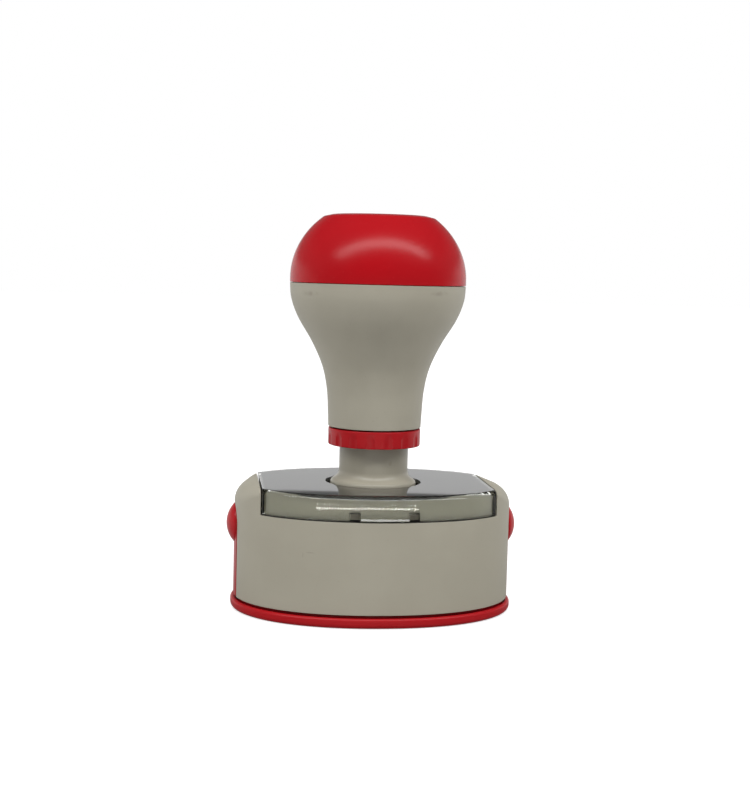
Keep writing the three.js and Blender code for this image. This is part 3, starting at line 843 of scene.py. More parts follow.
def made_cover():
    rounding = changing(SIDE_ROUNDING, COVER_END_ROUNDING, 2, COVER_HALF)
    waists = [COVER_FOOT + COVER_WAIST, TOP - SIDE_ROUNDING - 0.08]
    cover = rounded_oval("window", 0, COVER_FOOT, TOP, rounding, waists, 14)
    kept(cover, slab(-COVER_HALF, COVER_HALF, 0, TOP + OVERRUN))
    hollow = kept(
        oval_block(COVER_WALL, COVER_FOOT - OVERRUN, TOP - COVER_PLATE),
        slab(COVER_END - COVER_HALF, COVER_HALF - COVER_END, 0, TOP),
    )
    cut(cover, hollow)
    softened(cover, 0.05)
    slope = (-LIP_DEPTH, COVER_FOOT + LIP_EDGE), (-0.01, COVER_FOOT + LIP_HEIGHT)
    lips = oval_body("lips", [(-LIP_DEPTH, COVER_FOOT), *slope])
    cut(lips, oval_block(-0.005, COVER_FOOT - OVERRUN, TOP))
    joined(cover, kept(lips, slab(-TONGUE_HALF, TONGUE_HALF, 0, TOP)))
    cut(cover, rod(COVER_HOLE, COVER_FOOT, TOP + OVERRUN, 160))
    for side in (-1, 1):
        cut(cover, beside_tongue(COVER_FOOT - OVERRUN, COVER_FOOT + TONGUE_SLOT_HEIGHT, side))
    return cover


backing = (backing_black, COVER_FOOT + 1)
handed_over(made_cover(), "window", ["window_cover"], window_clear, backing)

# %% [markdown]
# The dust cover and its two arms.
#
# The dust cover is a shallow tray. From the outside in, its section is a beaded lip, a narrow
# groove, the shelf that the housing rests over, and an upstand that plugs into the housing. One loft
# follows that section from the middle of the underside round to the middle of the floor.
# Each release arm is a strip of the same oval with a domed thumb button on it.

# %% Dust cover and arms
LIP_REACH = 0.6
LIP_TOP = 2.05
LIP_WALL = 0.8
BEAD_INSET = 0.3
BEAD_HEIGHT = 0.95
BEAD_WIDTH = 0.5
BEAD_RISE = 0.6
TRAY_FLOOR = 1.1
SHELF_EDGE = 0.9
SHELF_TOP = FOOT - SEAT_GAP
UPSTAND = SHELL_WALL + SEAT_GAP
UPSTAND_WALL = 1.2
UPSTAND_TOP = 6.2
ARM_PROUD = 0.02
ARM_WALL = 1.5
ARM_PLAY = 0.2
BUTTON_DOME = 1.6


def made_tray():
    under = arc((0, BEAD_HEIGHT), BEAD_INSET + LIP_REACH, BEAD_HEIGHT, -90, 0, 10)
    over = arc((0, LIP_TOP - BEAD_RISE), BEAD_WIDTH, BEAD_RISE, 0, 90, 8)
    groove = LIP_WALL - LIP_REACH
    section = [
        *[(BEAD_INSET - out, up) for out, up in under],
        *[(BEAD_WIDTH - LIP_REACH - out, up) for out, up in over],
        (groove, LIP_TOP),
        (groove, TRAY_FLOOR),
        (SHELF_EDGE, TRAY_FLOOR),
        (SHELF_EDGE, SHELF_TOP),
        (UPSTAND, SHELF_TOP),
        (UPSTAND, UPSTAND_TOP),
        (UPSTAND + UPSTAND_WALL, UPSTAND_TOP),
        (UPSTAND + UPSTAND_WALL, TRAY_FLOOR),
        (UPSTAND + UPSTAND_WALL + 2, TRAY_FLOOR),
    ]
    return oval_body("dust_cover_tray", [tuple(p) for p in eased(section, 0.22, 4)])


def made_arm(side, name):
    inner = ARM_WALL - ARM_PLAY
    band = oval_block(-ARM_PROUD, FOOT, BUTTON_HEIGHT)
    cut(band, oval_block(inner, FOOT - OVERRUN, BUTTON_HEIGHT + OVERRUN))
    strip = (0, -BUTTON_RADIUS, FOOT - OVERRUN), (2 * HALF_LENGTH, BUTTON_RADIUS, BUTTON_HEIGHT)
    kept(band, block(*strip))
    sphere = (BUTTON_RADIUS**2 + BUTTON_DOME**2) / (2 * BUTTON_DOME)
    sweep = math.degrees(math.asin(BUTTON_RADIUS / sphere))
    dome = arc((0, inner + BUTTON_DOME - sphere), sphere, sphere, 90 - sweep, 90, 16)
    button = turned("button", eased([(0, 0), (BUTTON_RADIUS, 0), *dome], 0.15), 96)
    placed(button, (HALF_LENGTH - inner, 0, BUTTON_HEIGHT), 90, "Y")
    arm = softened(joined(band, button), 0.1)
    arm.name = name
    return turned_over(arm, side)


handed_over(made_tray(), "tray", ["dust_cover"], trim_red)
for side, word in ((-1, "left"), (1, "right")):
    arm = made_arm(side, f"arm_{word}")
    handed_over(arm, f"{word}_arm", [f"release_arm_{word}"], trim_red)

# %% [markdown]
# The stem.
#
# The stem is a tube with a flared foot. The flare sweeps out and turns over in one smooth curve, so
# it takes the lamp twice: as a fine line in the sweep, and broadly on the rounded edge. Inside, a
# thin post hangs from the tube's ceiling and carries the die. Two keyways run down from the top for
# the washer above the pressure ring.

# %% Stem
STEM_RADIUS = 7.1
STEM_SHOULDER = 45.9
SPIGOT_RADIUS = 6.0
SPIGOT_TOP = 50.2
SPIGOT_PILOT = (1.7, 10)
POST_RADIUS = 2.8
POST_FOOT = 15.1
POST_PILOT = (1.6, 8.5)
STEM_BORE = 5.7
STEM_CEILING = 35.2
SKIRT_FOOT = 22.6
FLANGE_EDGE = 25.75
FLANGE_ROUNDING = 0.9
FLANGE_SLOPE = 65
KEYWAY_WIDTH = 1.6
KEYWAY_DEPTH = 0.5
KEYWAY_FOOT = 40.9


def made_stem():
    steep, edge = math.radians(FLANGE_SLOPE), FLANGE_ROUNDING
    sweep = (SKIRT_RADIUS - STEM_RADIUS) / (1 - math.cos(steep)) - edge
    sweep_height = FLANGE_EDGE + (edge + sweep) * math.sin(steep)
    (post_bore, post_depth), (spigot_bore, spigot_depth) = POST_PILOT, SPIGOT_PILOT
    section = [
        (0, POST_FOOT + post_depth),
        (post_bore, POST_FOOT + post_depth),
        (post_bore, POST_FOOT),
        (POST_RADIUS, POST_FOOT),
        (POST_RADIUS, STEM_CEILING),
        (STEM_BORE, STEM_CEILING),
        (STEM_BORE, SKIRT_FOOT),
        (SKIRT_RADIUS, SKIRT_FOOT),
        *arc((SKIRT_RADIUS - edge, FLANGE_EDGE), edge, edge, 0, FLANGE_SLOPE, 12),
        *arc((STEM_RADIUS + sweep, sweep_height), sweep, sweep, FLANGE_SLOPE - 180, -180, 20),
        (STEM_RADIUS, STEM_SHOULDER),
        (SPIGOT_RADIUS, STEM_SHOULDER),
        (SPIGOT_RADIUS, SPIGOT_TOP),
        (spigot_bore, SPIGOT_TOP),
        (spigot_bore, SPIGOT_TOP - spigot_depth),
        (0, SPIGOT_TOP - spigot_depth),
    ]
    stem = turned("stem_tube", section, 144, 0.14)
    for side in (-1, 1):
        near, far = sorted((side * (STEM_RADIUS - KEYWAY_DEPTH), side * (STEM_RADIUS + OVERRUN)))
        half = KEYWAY_WIDTH / 2
        cut(stem, block((near, -half, KEYWAY_FOOT), (far, half, STEM_SHOULDER + OVERRUN)))
    return stem


handed_over(made_stem(), "handle", ["stem"], stem_greige)

# %% [markdown]
# The pressure ring's grip, as Geometry Nodes.
#
# The ring's grooves follow a rule, so they are grown: a Geometry Nodes tree sets one cutter at each
# place of a circle and takes them all out of the turned ring at once. A cutter is a thick rod with
# a long point, and it bites only a little, so the flutes are shallow and run out below the flange.

# %% Grip grooves, as Geometry Nodes
grip_graph, grip = node_group("grip", Object="Cutter", Int="Count", Float="Reach Turn")
places = grip_graph.add("GeometryNodeMeshCircle", None, {"Vertices": grip["Count"], "Radius": grip["Reach"]})
spin = grip_graph.add("ShaderNodeCombineXYZ", None, {"Z": grip["Turn"]})
places = grip_graph.add("GeometryNodeTransform", None, {"Geometry": places, "Rotation": spin})
tool = grip_graph.add("GeometryNodeObjectInfo", None, {"Object": grip["Cutter"]}, out="Geometry")
tools = grip_graph.add("GeometryNodeInstanceOnPoints", None, {"Points": places, "Instance": tool})
tools = grip_graph.add("GeometryNodeRealizeInstances", None, {"Geometry": tools})
closed_off(grip_graph, less(grip_graph, grip["Geometry"], tools), grip["Material"])
print("grip tree ready:", len(grip_graph.tree.nodes), "nodes")

# %% [markdown]
# The pressure ring.
#
# The ring sits under the knob and sets how deep the stamp presses. Its long sleeve runs up inside the
# knob's neck and carries a coarse thread, drawn here as ridges on the turned outline. It could be
# made on a lathe in one go, and so it is: the outline holds the ridges, and the tree above takes the
# grip's grooves out of the turned ring.

# %% Pressure ring
RING_FOOT = 33.65
RING_TOP = 37.15
RING_RADIUS = 9.5
RING_GROOVES = 16
RING_FLANGE = 0.7
RING_BORE = STEM_RADIUS + 0.3
THREAD_RADIUS = 8.2
THREAD_ROOT = 7.9
THREAD_PITCH = 1.6
THREAD_RISE = (0.53, 1.07)
SLEEVE_TOP = 44.1
GROOVE_RADIUS = 2.2
GROOVE_DEPTH = 0.24
GROOVE_FADE = 0.9


def made_ring():
    thread = []
    for low in (RING_TOP + THREAD_PITCH * turn for turn in (1, 2, 3)):
        crest, end = (low + rise for rise in THREAD_RISE)
        thread += [(THREAD_ROOT, low), (THREAD_RADIUS, crest), (THREAD_ROOT, end)]
    section = [
        (RING_BORE, RING_FOOT + 1),
        (RING_BORE, RING_FOOT),
        (RING_RADIUS, RING_FOOT),
        (RING_RADIUS, RING_TOP),
        (THREAD_ROOT, RING_TOP),
        *thread,
        (THREAD_ROOT, SLEEVE_TOP),
        (RING_BORE, SLEEVE_TOP),
        (RING_BORE, RING_FOOT + 1),
    ]
    ring = turned("adjust_ring_grip", section, 160, 0.25)
    straight = RING_TOP - RING_FLANGE - GROOVE_FADE
    tip = straight + GROOVE_FADE * GROOVE_RADIUS / GROOVE_DEPTH
    low = RING_FOOT - OVERRUN
    outline = [(0, low), (GROOVE_RADIUS, low), (GROOVE_RADIUS, straight), (0, tip)]
    cutter = turned("cutter", outline, 96)
    reach, turn = RING_RADIUS - GROOVE_DEPTH + GROOVE_RADIUS, math.pi / RING_GROOVES
    grown(ring, grip_graph.tree, {"Cutter": cutter, "Count": RING_GROOVES, "Reach": reach, "Turn": turn})
    bpy.data.objects.remove(cutter)
    return softened(ring, 0.05)


handed_over(made_ring(), "ring", ["adjust_ring"], trim_red)

# %% [markdown]
# The knob, in two mouldings.
#
# The grip swells from a slim neck to its full width along a smooth curve, measured from the
# outline in the photograph. The red cap closes it with the top of an ellipse and a small flat. The
# seam between the two is a real gap a tenth of a millimetre wide, with both edges slightly rounded,
# so it shows as a fine dark line.

# %% Knob body and cap
KNOB_FOOT = 37.45
KNOB_BODY_HEIGHT = 29.15
NECK_RADIUS = 9.55
KNOB_RADIUS = 18.0
KNOB_WALL = 2.1
NECK_BORE = 8.4
WEB_FOOT = 50.5
WEB_TOP = 52.5
SWELL = [(0, 0), (0.115, 0.018), (0.26, 0.055), (0.42, 0.175)]
SWELL += [(0.59, 0.44), (0.76, 0.79), (0.89, 0.96), (1, 1)]
WEB_BORE = 1.8
SPIGOT_PLAY = 0.2
SPIGOT_REST = STEM_SHOULDER + 0.3
CAP_FOOT = 66.7
CAP_TOP = 80.6
CAP_SHOULDER = CAP_TOP - 0.4
CAP_FLAT = 9.7
CAP_RISE = 16.1
CAP_WALL = 2.0
CAP_INNER_RISE = 10.9
CAP_SKIRT = 3.8
SKIRT_WALL = 1.2


def smooth_through(points, steps):
    """A Catmull-Rom curve through points, the kind that the CAD model uses."""
    points = np.array(points, float)
    padded = np.concatenate([points[:1], points, points[-1:]])
    curve = []
    for before, here, there, after in zip(padded, padded[1:], padded[2:], padded[3:]):
        for t in np.arange(steps) / steps:
            out, back = (there - before) / 2, (after - here) / 2
            cubic = (2 * here - 2 * there + out + back) * t**3
            square = (3 * there - 3 * here - 2 * out - back) * t**2
            curve.append(cubic + square + out * t + here)
    return [*curve, points[-1]]


swell = [
    (NECK_RADIUS + (KNOB_RADIUS - NECK_RADIUS) * out, KNOB_FOOT + KNOB_BODY_HEIGHT * rise)
    for rise, out in smooth_through(SWELL, 9)
]


def radius_at(height):
    return float(np.interp(height, [up for _, up in swell], [out for out, _ in swell]))


def made_knob_body():
    inside = [(out - KNOB_WALL, up) for out, up in reversed(swell) if up > WEB_TOP]
    section = [
        (NECK_BORE, KNOB_FOOT + 1),
        (NECK_BORE, KNOB_FOOT),
        *swell,
        *inside,
        (radius_at(WEB_TOP) - KNOB_WALL, WEB_TOP),
        (WEB_BORE, WEB_TOP),
        (WEB_BORE, WEB_FOOT),
        (SPIGOT_RADIUS + SPIGOT_PLAY, WEB_FOOT),
        (SPIGOT_RADIUS + SPIGOT_PLAY, SPIGOT_REST),
        (NECK_BORE, SPIGOT_REST),
        (NECK_BORE, KNOB_FOOT + 1),
    ]
    return turned("knob_grip", section, 176, 0.18)


def made_knob_cap():
    centre = (0, CAP_FOOT + 1)
    end = math.degrees(math.asin((CAP_SHOULDER - centre[1]) / CAP_RISE))
    skirt = radius_at(CAP_FOOT - CAP_SKIRT) - KNOB_WALL - SEAT_GAP
    inner = skirt - SKIRT_WALL
    start = math.degrees(math.acos(inner / (KNOB_RADIUS - CAP_WALL)))
    section = [
        *arc(centre, KNOB_RADIUS - CAP_WALL, CAP_INNER_RISE, 90, start, 24),
        (inner, CAP_FOOT - CAP_SKIRT),
        (skirt, CAP_FOOT - CAP_SKIRT),
        (skirt, CAP_FOOT),
        (KNOB_RADIUS, CAP_FOOT),
        *arc(centre, KNOB_RADIUS, CAP_RISE, 0, end, 48),
        (CAP_FLAT, CAP_TOP),
        (0, CAP_TOP),
    ]
    return turned("knob_crown", section, 176, 0.16)


handed_over(made_knob_body(), "handle", ["knob_body"], knob_greige)
handed_over(made_knob_cap(), "handle", ["knob_cap"], cap_red)

# %% [markdown]
# Screws, as Geometry Nodes.
#
# Four self-tapping screws hold the works together. One tree makes them all: a turned blank comes in,
# a helical ridge is wound round its shank, and a cross is sunk into its head. Only the
# sizes differ, and they are the tree's inputs.

# %% The screw tree
screw_graph, screw = node_group("screw", Float="Shank Length Thread Pitch Cross Arm Face Depth")
THREADED_SHARE = 0.78
THREAD_START = 0.94

reach = screw["Length"] * THREADED_SHARE
helix = screw_graph.add(
    "GeometryNodeCurveSpiral",
    None,
    {
        "Resolution": 24,
        "Rotations": reach / screw["Pitch"],
        "Start Radius": screw["Shank"],
        "End Radius": screw["Shank"],
        "Height": reach,
    },
)
down = screw_graph.add("ShaderNodeCombineXYZ", None, {"Z": -THREAD_START * screw["Length"]})
helix = screw_graph.add("GeometryNodeTransform", None, {"Geometry": helix, "Translation": down})
ridge_size = {"Resolution": 4, "Radius": screw["Thread"]}
ridge = screw_graph.add("GeometryNodeCurvePrimitiveCircle", None, ridge_size)
thread = screw_graph.add(
    "GeometryNodeCurveToMesh", None, {"Curve": helix, "Profile Curve": ridge, "Fill Caps": True}
)
bars = []
for long_way, wide_way in (("X", "Y"), ("Y", "X")):
    size = screw_graph.add(
        "ShaderNodeCombineXYZ",
        None,
        {long_way: screw["Arm"] * 2, wide_way: screw["Cross"], "Z": screw["Depth"] * 2},
    )
    bars.append(screw_graph.add("GeometryNodeMeshCube", None, {"Size": size}))
both = screw_graph.add(
    "GeometryNodeMeshBoolean", {"operation": "UNION", "solver": "MANIFOLD"}, {"Mesh 2": bars[0]}
)
screw_graph.tree.links.new(bars[1].socket, both.socket.node.inputs["Mesh 2"])
lift = screw_graph.add("ShaderNodeCombineXYZ", None, {"Z": screw["Face"]})
both = screw_graph.add("GeometryNodeTransform", None, {"Geometry": both, "Translation": lift})
headed = less(screw_graph, screw["Geometry"], both)
whole = screw_graph.add("GeometryNodeJoinGeometry", None, {"Geometry": headed})
screw_graph.tree.links.new(thread.socket, whole.socket.node.inputs["Geometry"])
closed_off(screw_graph, whole, screw["Material"])
print("screw tree ready:", len(screw_graph.tree.nodes), "nodes")


CORE_SHARE = 0.8
HEAD_SIDE = 0.45


def made_screw(name, shank, head, rise, length, slot, sunk=False):
    """A screw that points down, with the underside of its head at height zero."""
    core, side = CORE_SHARE * shank, HEAD_SIDE * rise
    tip = [(0, -length), (0.25 * shank, -length), (core, shank - length)]
    if sunk:
        top = [(core, -rise), (head, -0.1), (head, 0), (0, 0)]
    else:
        top = [(core, 0), (head, 0), (head, side), (head - rise + side, rise), (0, rise)]
    blank = turned(name, [*tip, *top], 48, 0.12)
    sizes = {"Shank": core, "Length": length - shank, "Thread": 0.2 * shank, "Pitch": 0.75 * shank}
    face = {"Cross": slot, "Arm": head / 2 + slot / 2, "Face": 0.0 if sunk else rise, "Depth": rise / 2}
    return grown(blank, screw_graph.tree, {**sizes, **face})


# %% [markdown]
# Screws and washers in place.
#
# Two short screws hold the guide sleeve under the deck. A long one with a washer holds the knob on
# the stem, and the last, from below, holds the die carrier. Washers are punched from sheet, so they
# are thin turned rings with a slight break at the edge. The one above the pressure ring has two keys
# that run in the stem's keyways, so it climbs with the ring and doesn't turn.

# %% Screws and washers in place
SPRING_WASHER = (16.6, 17.2)
SLEEVE_FLANGE = (20.65, 21.85)
CARRIER_FOOT = 13.4
LOAD_WASHER = (WEB_TOP + 0.3, 53.6)
KEY_WASHER = (44.4, 45.0)
KEY_REACH = (STEM_RADIUS - 0.2, 7.8)
KEY_HALF = 0.5


def made_washer(name, outer, bore, foot, top):
    middle = (foot + top) / 2
    section = [(bore, middle), (bore, foot), (outer, foot), (outer, top), (bore, top), (bore, middle)]
    return turned(name, section, 96, 0.12)


def in_steel(made, body, node):
    return handed_over(made, body, [node], zinc_steel)


for word, side in (("front", -1), ("back", 1)):
    made = made_screw(f"sleeve_fixing_{word}", 0.9, 1.8, 1.2, 3.0, 0.6)
    placed(made, (-side * EAR_PLACE[0], side * EAR_PLACE[1], SLEEVE_FLANGE[0] - SEAT_GAP), 180)
    in_steel(made, "casing", f"sleeve_screw_{word}")
made = made_screw("handle_fixing", 1.5, 2.9, 2.2, 12.0, 0.9)
in_steel(placed(made, (0, 0, LOAD_WASHER[1] + 0.3)), "handle", "handle_screw")
made = made_screw("carrier_fixing", 1.4, 2.7, 1.2, 8.3, 0.8, sunk=True)
in_steel(placed(made, (0, 0, CARRIER_FOOT), 180), "handle", "carrier_screw")

in_steel(made_washer("spring_seat", 5.3, 3.1, *SPRING_WASHER), "casing", "spring_washer")
in_steel(made_washer("load_washer", 4.0, WEB_BORE, *LOAD_WASHER), "handle", "handle_washer")
key_washer = made_washer("key_washer", 8.1, RING_BORE, *KEY_WASHER)
for side in (-1, 1):
    near, far = sorted(side * reach for reach in KEY_REACH)
    joined(key_washer, block((near, -KEY_HALF, KEY_WASHER[0]), (far, KEY_HALF, KEY_WASHER[1])))
in_steel(softened(key_washer, 0.05), "ring_stop", "ring_washer")

# %% [markdown]
# The return spring, as Geometry Nodes.
#
# A compression spring has its first and last turns closed up, so that it stands straight. The tree
# winds a spiral and then bends its climb with one sine, which lets the ends lie flat and spreads the
# turns in the middle.

# %% The spring tree
END_CLOSURE = 0.65
CIRCLE = 2 * math.pi

spring_graph, coil = node_group("spring", Float="Turns Radius Wire Foot Height")
spiral = spring_graph.add(
    "GeometryNodeCurveSpiral",
    None,
    {
        "Resolution": 40,
        "Rotations": coil["Turns"],
        "Start Radius": coil["Radius"],
        "End Radius": coil["Radius"],
        "Height": coil["Height"],
    },
)
along = spring_graph.add("GeometryNodeSplineParameter")
sine = along.maths("SINE", along * CIRCLE)
sway = sine * (-END_CLOSURE / CIRCLE) * coil["Height"]
shift = spring_graph.add("ShaderNodeCombineXYZ", None, {"Z": sway + coil["Foot"]})
spiral = spring_graph.add("GeometryNodeSetPosition", None, {"Geometry": spiral, "Offset": shift})
wire_size = {"Resolution": 16, "Radius": coil["Wire"]}
section = spring_graph.add("GeometryNodeCurvePrimitiveCircle", None, wire_size)
swept = {"Curve": spiral, "Profile Curve": section, "Fill Caps": True}
wound = spring_graph.add("GeometryNodeCurveToMesh", None, swept)
closed_off(spring_graph, wound, coil["Material"])
print("spring tree ready:", len(spring_graph.tree.nodes), "nodes")

# %% [markdown]
# The return spring in its place.
#
# The spring stands on a washer in the guide sleeve, round the post, and reaches the stem's ceiling.
# When the handle goes down by six millimetres, the spring is squashed toward the washer, and what it
# keeps of its length follows from its own height.

# %% Return spring
SPRING_FOOT = SPRING_WASHER[1] + 0.3
SPRING_LENGTH = STEM_CEILING - 0.3 - SPRING_FOOT
WIRE = 0.45
TURNS = 7.0
COIL_RADIUS = 4.6

spring = mesh_object("spring_coil", [(0, 0, 0)], [])
wound_sizes = {"Turns": TURNS, "Radius": COIL_RADIUS, "Wire": WIRE, "Foot": SPRING_FOOT + WIRE}
grown(spring, spring_graph.tree, {**wound_sizes, "Height": SPRING_LENGTH - 2 * WIRE})
handed_over(tidied(spring), "casing", ["return_spring"], spring_steel)
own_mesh(spring)

# %% [markdown]
# The guide sleeve.
#
# The guide sleeve is a cup in natural white plastic that the stem's skirt slides in and the spring
# stands in. It hangs under the deck by two ears, turned away from the latch tongues. It would be
# moulded plain white, as hidden working parts are, and it is a turned cup with the ears joined on.

# %% Guide sleeve
SLEEVE_WALL = 1.3
SLEEVE_FOOT = 15.1
FLANGE_RADIUS = 12
EAR_RADIUS = 2.9


def made_sleeve():
    low, high = SLEEVE_FLANGE
    sleeve = rod(STEM_HOLE + SLEEVE_WALL, SLEEVE_FOOT, high, 128)
    bar = block((-EAR_RADIUS, -EAR_REACH, low), (EAR_RADIUS, EAR_REACH, high))
    ears = two_rods(EAR_RADIUS, low, high, 48, 0, EAR_REACH)
    joined(sleeve, rod(FLANGE_RADIUS, low, high, 128), bar, *ears)
    holes = two_rods(PILOT_BORE, low - OVERRUN, high + OVERRUN, 24, 0, EAR_REACH)
    cut(sleeve, rod(STEM_HOLE, SPRING_WASHER[0] - 0.3, high + OVERRUN, 128))
    cut(sleeve, rod(POST_RADIUS + 0.3, SLEEVE_FOOT - OVERRUN, high, 48), *holes)
    sleeve.name = "sleeve_cup"
    return placed(softened(sleeve, 0.08), (0, 0, 0), math.degrees(EAR_TURN), "Z")


handed_over(made_sleeve(), "casing", ["guide_sleeve"], natural)

# %% [markdown]
# The die carrier and its frame.
#
# The carrier is a plate with a stiffening rib and two posts, which slide in the sockets of the deck
# and keep the die square. The frame under it holds the ink pad and the die by their rims. None of it
# shows in the photograph, but it does when the dust cover comes off. Both are ovals drawn in from the
# housing's, so that they stay clear of its wall all round.

# %% Die carrier and frame
CARRIER_INSET = UPSTAND + UPSTAND_WALL + 0.8
CARRIER_TOP = 14.8
RIB_TOP = 16.415
RIB_WALL = 1
GUIDE_RADIUS = 1.9
SEAT_RADIUS = 2.9
SEAT_BORE = (1.6, 15.8)
FRAME_FOOT = 9.2
DIE_INSET = CARRIER_INSET + 1.8


def made_carrier():
    carrier = oval_block(CARRIER_INSET, CARRIER_FOOT, CARRIER_TOP)
    carrier.name = "carrier_plate"
    rib = oval_block(CARRIER_INSET + RIB_WALL, CARRIER_TOP - 0.3, RIB_TOP)
    cut(rib, oval_block(CARRIER_INSET + 2 * RIB_WALL, CARRIER_TOP - OVERRUN, RIB_TOP + OVERRUN))
    posts = two_rods(GUIDE_RADIUS, CARRIER_TOP - 0.3, DECK_UNDERSIDE - 0.7, 48, POST_REACH)
    softened(joined(carrier, rib, *posts), 0.1)
    bore, top = SEAT_BORE
    seat = [(0, CARRIER_FOOT - OVERRUN), (SEAT_RADIUS, CARRIER_FOOT - OVERRUN), (SEAT_RADIUS, CARRIER_FOOT)]
    return cut(carrier, turned("seat", [*seat, (bore, 14.6), (bore, top), (0, top)], 48))


def made_frame():
    top = CARRIER_FOOT - 0.3
    around = oval_block(CARRIER_INSET, FRAME_FOOT, top)
    around.name = "frame_band"
    cut(around, oval_block(DIE_INSET - 0.3, FRAME_FOOT - OVERRUN, top + OVERRUN))
    return softened(around, 0.12)


handed_over(made_carrier(), "handle", ["die_carrier"], natural)
handed_over(made_frame(), "handle", ["die_frame"], natural)

# %% [markdown]
# The ink pad and the die.
#
# Both are soft. The pad is a felt cut to the oval, its faces slightly crowned where its own fibres
# spring back, its rim rounded and a little ragged. The die is a foam whose face was flashed, so it is
# flat where it prints and soft at its rim.

# %% Pad and die
def soft_oval(name, inset, foot, top, rim, crown_low, crown_high, ragged):
    """A soft oval slab: rounded rim, crowned faces and an uneven edge."""
    shares, reach = np.linspace(0, 1, 15)[1:], HALF_WIDTH - inset
    middle, half = (foot + top) / 2, (top - foot) / 2

    def ring_at(share, height):
        wander = ragged * np.sin(oval_turn * 23 + 1.3) * np.sin(oval_turn * 11) * share
        return oval_ring(inset + reach * (1 - share) + wander + ragged, height)

    full = (reach - rim) / reach
    rings = [ring_at(share * full, foot + crown_low * share**4) for share in shares]
    for lean in np.radians(np.linspace(-75, 75, 9)):
        rings.append(ring_at(full + rim / reach * math.cos(lean), middle + half * math.sin(lean) * 0.96))
    rings += [ring_at(share * full, top - crown_high * share**4) for share in shares[::-1]]
    return loft(name, rings)


ink_felt_pad = soft_oval("pad_felt", 6.2, 11.3, 13.1, 0.4, 0.05, 0.1, 0.04)
handed_over(ink_felt_pad, "handle", ["ink_pad"], felt_red)
die = soft_oval("die_foam_block", DIE_INSET, 8.6, 11.0, 0.5, 0.06, 0.04, 0.02)
handed_over(die, "handle", ["flash_die"], foam_black)

# %% [markdown]
# The floor.
#
# The stamp stands on white paper. The knob's underside shows how bright that paper is. The camera,
# and rays that pass through the window, see it a little brighter than it is lit, so that it turns
# plain white but keeps the stamp's shadow. Mirror rays see it bright behind the stamp and dark before
# it, as the window and the cap do in the photograph.

# %% Floor
PAPER = 0.58
FLOOR_GLOW = 0.64
FLOOR_HEIGHT = -0.05
SPREAD = 3000
MIRROR_FADE = (-30, 60)
MIRROR_DARK = 0.06
MIRROR_GAIN = 0.7


def on_stage(name, points, faces, material):
    shown = mesh_object(name, points, faces)
    shown.data.transform(Matrix.Scale(MM, 4))
    shown.data.materials.append(material)
    return shown


def made_floor_material():
    material, graph = fresh_material("floor")
    sees = graph.add("ShaderNodeLightPath", out="Is Camera Ray")
    path = sees.socket.node
    through = Wire(graph, path.outputs["Is Transmission Ray"])
    where = graph.add("ShaderNodeTexCoord", out="Object")
    split = graph.add("ShaderNodeSeparateXYZ", None, {"Vector": where})
    away = Wire(graph, split.socket.node.outputs["Y"]).between(*(end * MM for end in MIRROR_FADE))
    paper = graph.add("ShaderNodeBsdfDiffuse", None, {"Color": (PAPER, PAPER, PAPER, 1)})
    direct = sees.maths("MAXIMUM", sees, through) * FLOOR_GLOW
    glow = graph.add("ShaderNodeEmission", None, {"Color": (1, 1, 1, 1), "Strength": direct})
    both = graph.add("ShaderNodeAddShader", None, {0: paper, 1: glow})
    level = away * MIRROR_GAIN + MIRROR_DARK
    mirrored = graph.add("ShaderNodeEmission", None, {"Color": (1, 1, 1, 1), "Strength": level})
    mirror = Wire(graph, path.outputs["Is Glossy Ray"]) * (1 - through)
    shown = graph.add("ShaderNodeMixShader", None, {0: mirror, 1: both, 2: mirrored})
    graph.add("ShaderNodeOutputMaterial", None, {"Surface": shown})
    return material


signs = ((-1, -1), (1, -1), (1, 1), (-1, 1))
corners = [(across * SPREAD, away * SPREAD, FLOOR_HEIGHT) for across, away in signs]
on_stage("floor", corners, [(0, 1, 2, 3)], made_floor_material())
print(f"the floor lies at {FLOOR_HEIGHT} mm and reaches {SPREAD} mm each way")

# %% [markdown]
# The world.
#
# All round the stamp is a pale room, dimmer on the camera's side. The window shows that a white
# backdrop stands behind the stamp and ends about nine degrees up: its top mirrors the backdrop and
# turns black at the front edge, where it mirrors the dark above. So mirror rays get that backdrop and
# a dark room, and the camera sees plain white.

# %% World
FRONT_LEVEL = 0.32
BACK_LEVEL = 0.96
BACKDROP_END = 9.05
EDGE_SOFTNESS = 0.0007
MIRRORED_ROOM = 0.03
MIRRORED_SIDES = 0.16
MIRRORED_BACKDROP = 0.63

world = bpy.data.worlds.new("studio")
scene.world = world
scene.view_settings.view_transform = "Standard"
world.use_nodes = True
sky = Graph(world.node_tree)
sight = sky.add("ShaderNodeLightPath", out="Is Camera Ray")
path = sight.socket.node.outputs
mirror = Wire(sky, path["Is Glossy Ray"]) * (1 - Wire(sky, path["Is Transmission Ray"]))
split = sky.add("ShaderNodeSeparateXYZ", None, {"Vector": sky.add("ShaderNodeTexCoord", out="Generated")})
ahead, up = Wire(sky, split.socket.node.outputs["Y"]), Wire(sky, split.socket.node.outputs["Z"])
lit = FRONT_LEVEL + (BACK_LEVEL - FRONT_LEVEL) * ahead.between(-0.9, 0.5)
edge = math.sin(math.radians(BACKDROP_END))
backdrop = ahead.between(0.1, 0.5) * (1 - up.between(edge - EDGE_SOFTNESS, edge + EDGE_SOFTNESS))
sides = ahead.between(-0.5, 0.1) * (1 - up.between(0.3, 0.6))
seen = MIRRORED_ROOM + MIRRORED_SIDES * sides + MIRRORED_BACKDROP * backdrop
level = sight + (1 - sight) * (lit + mirror * (seen - lit))
around = sky.add("ShaderNodeBackground", None, {"Color": (1, 1, 1, 1), "Strength": level})
sky.add("ShaderNodeOutputWorld", None, {"Surface": around})
print(f"the mirrored backdrop ends {BACKDROP_END} degrees up")

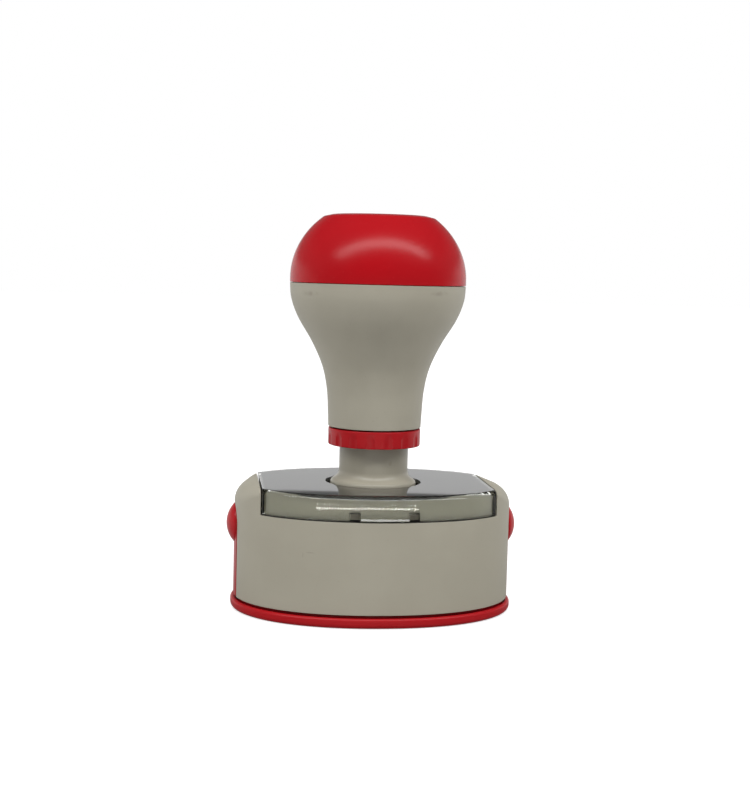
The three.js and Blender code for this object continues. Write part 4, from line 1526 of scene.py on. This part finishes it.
# %% [markdown]
# The lamp.
#
# The bright arch on the red cap is a long strip lamp, some 55 degrees up on the camera's side. Its
# length is why the arch reaches far round the cap. The shadow under the pressure ring says how much
# stronger it is than the room.

# %% Lamp
STRIP_PLACE = (0, -400, 690)
STRIP_AIM = (0, 0, 60)
STRIP_SIZE = (2000, 145)
STRIP_POWER = 7.8


def lamp(name, place, aim_at, size, power):
    light = bpy.data.lights.new(name, "AREA")
    light.shape, light.size, light.size_y = "RECTANGLE", size[0] * MM, size[1] * MM
    light.energy = power
    shown = bpy.data.objects.new(name, light)
    scene.collection.objects.link(shown)
    shown.location = Vector(place) * MM
    shown.rotation_euler = (Vector(aim_at) - Vector(place)).to_track_quat("-Z", "Y").to_euler()
    return shown


lamp("strip", STRIP_PLACE, STRIP_AIM, STRIP_SIZE, STRIP_POWER)
print(f"one strip lamp of {STRIP_SIZE[0]} by {STRIP_SIZE[1]} mm, {STRIP_POWER} W")

# %% [markdown]
# The dots in the window.
#
# Two rows of small bright dots show in the window's front. They are the lamps of a lit photo box,
# mirrored in the clear wall. The wall curves, and a row that looks straight in it must be an arc
# round the stamp, so the tree sets its dots along an arc. Only mirror rays see them here.

# %% Dots
DOTS_FROM = math.radians(-122.7)
DOTS_SWEEP = math.radians(56)
DOTS_REACHES = (153.2, 161.2)
DOTS_IN_A_ROW = 33
DOTS_HEIGHT = 1
DOT_RADIUS = 0.36
DOT_SPREAD = (0.6, 1.25)
DOT_STRETCH = 2.4
DOT_GLOW = 40.0


def made_dots_material():
    material, graph = fresh_material("dots")
    glow = graph.add("ShaderNodeEmission", None, {"Color": (1, 0.98, 0.92, 1), "Strength": DOT_GLOW})
    graph.add("ShaderNodeOutputMaterial", None, {"Surface": glow})
    return material


dots_graph, dots = node_group("dots", Int="Count Seed", Float="Reach Start Sweep Radius")
row_ports = {
    "Resolution": dots["Count"],
    "Radius": dots["Reach"],
    "Start Angle": dots["Start"],
    "Sweep Angle": dots["Sweep"],
}
row = dots_graph.add("GeometryNodeCurveArc", {"mode": "RADIUS"}, row_ports)
ball_size = {"Segments": 10, "Rings": 6, "Radius": dots["Radius"]}
ball = dots_graph.add("GeometryNodeMeshUVSphere", None, ball_size)
smallest, largest = DOT_SPREAD
drawn = {2: smallest, 3: largest, "Seed": dots["Seed"]}
spread = dots_graph.add("FunctionNodeRandomValue", {"data_type": "FLOAT"}, drawn, out=1)
wide = dots_graph.add("ShaderNodeCombineXYZ", None, {"X": spread * DOT_STRETCH, "Y": spread, "Z": spread})
row = dots_graph.add("GeometryNodeInstanceOnPoints", None, {"Points": row, "Instance": ball, "Scale": wide})
closed_off(dots_graph, row, dots["Material"])

dots_glow = made_dots_material()
for number, reach in enumerate(DOTS_REACHES):
    row = on_stage(f"dots_{number}", [(0, 0, 0)], [], dots_glow)
    sizes = {"Count": DOTS_IN_A_ROW, "Reach": reach * MM, "Start": DOTS_FROM, "Sweep": DOTS_SWEEP}
    sizes |= {"Radius": DOT_RADIUS * MM, "Seed": 5 + number, "Material": dots_glow}
    grown(row, dots_graph.tree, sizes)
    row.location = (0, 0, DOTS_HEIGHT * MM)
    row.visible_camera = row.visible_diffuse = row.visible_shadow = row.visible_transmission = False
print(len(DOTS_REACHES), "rows of", DOTS_IN_A_ROW, "dots")
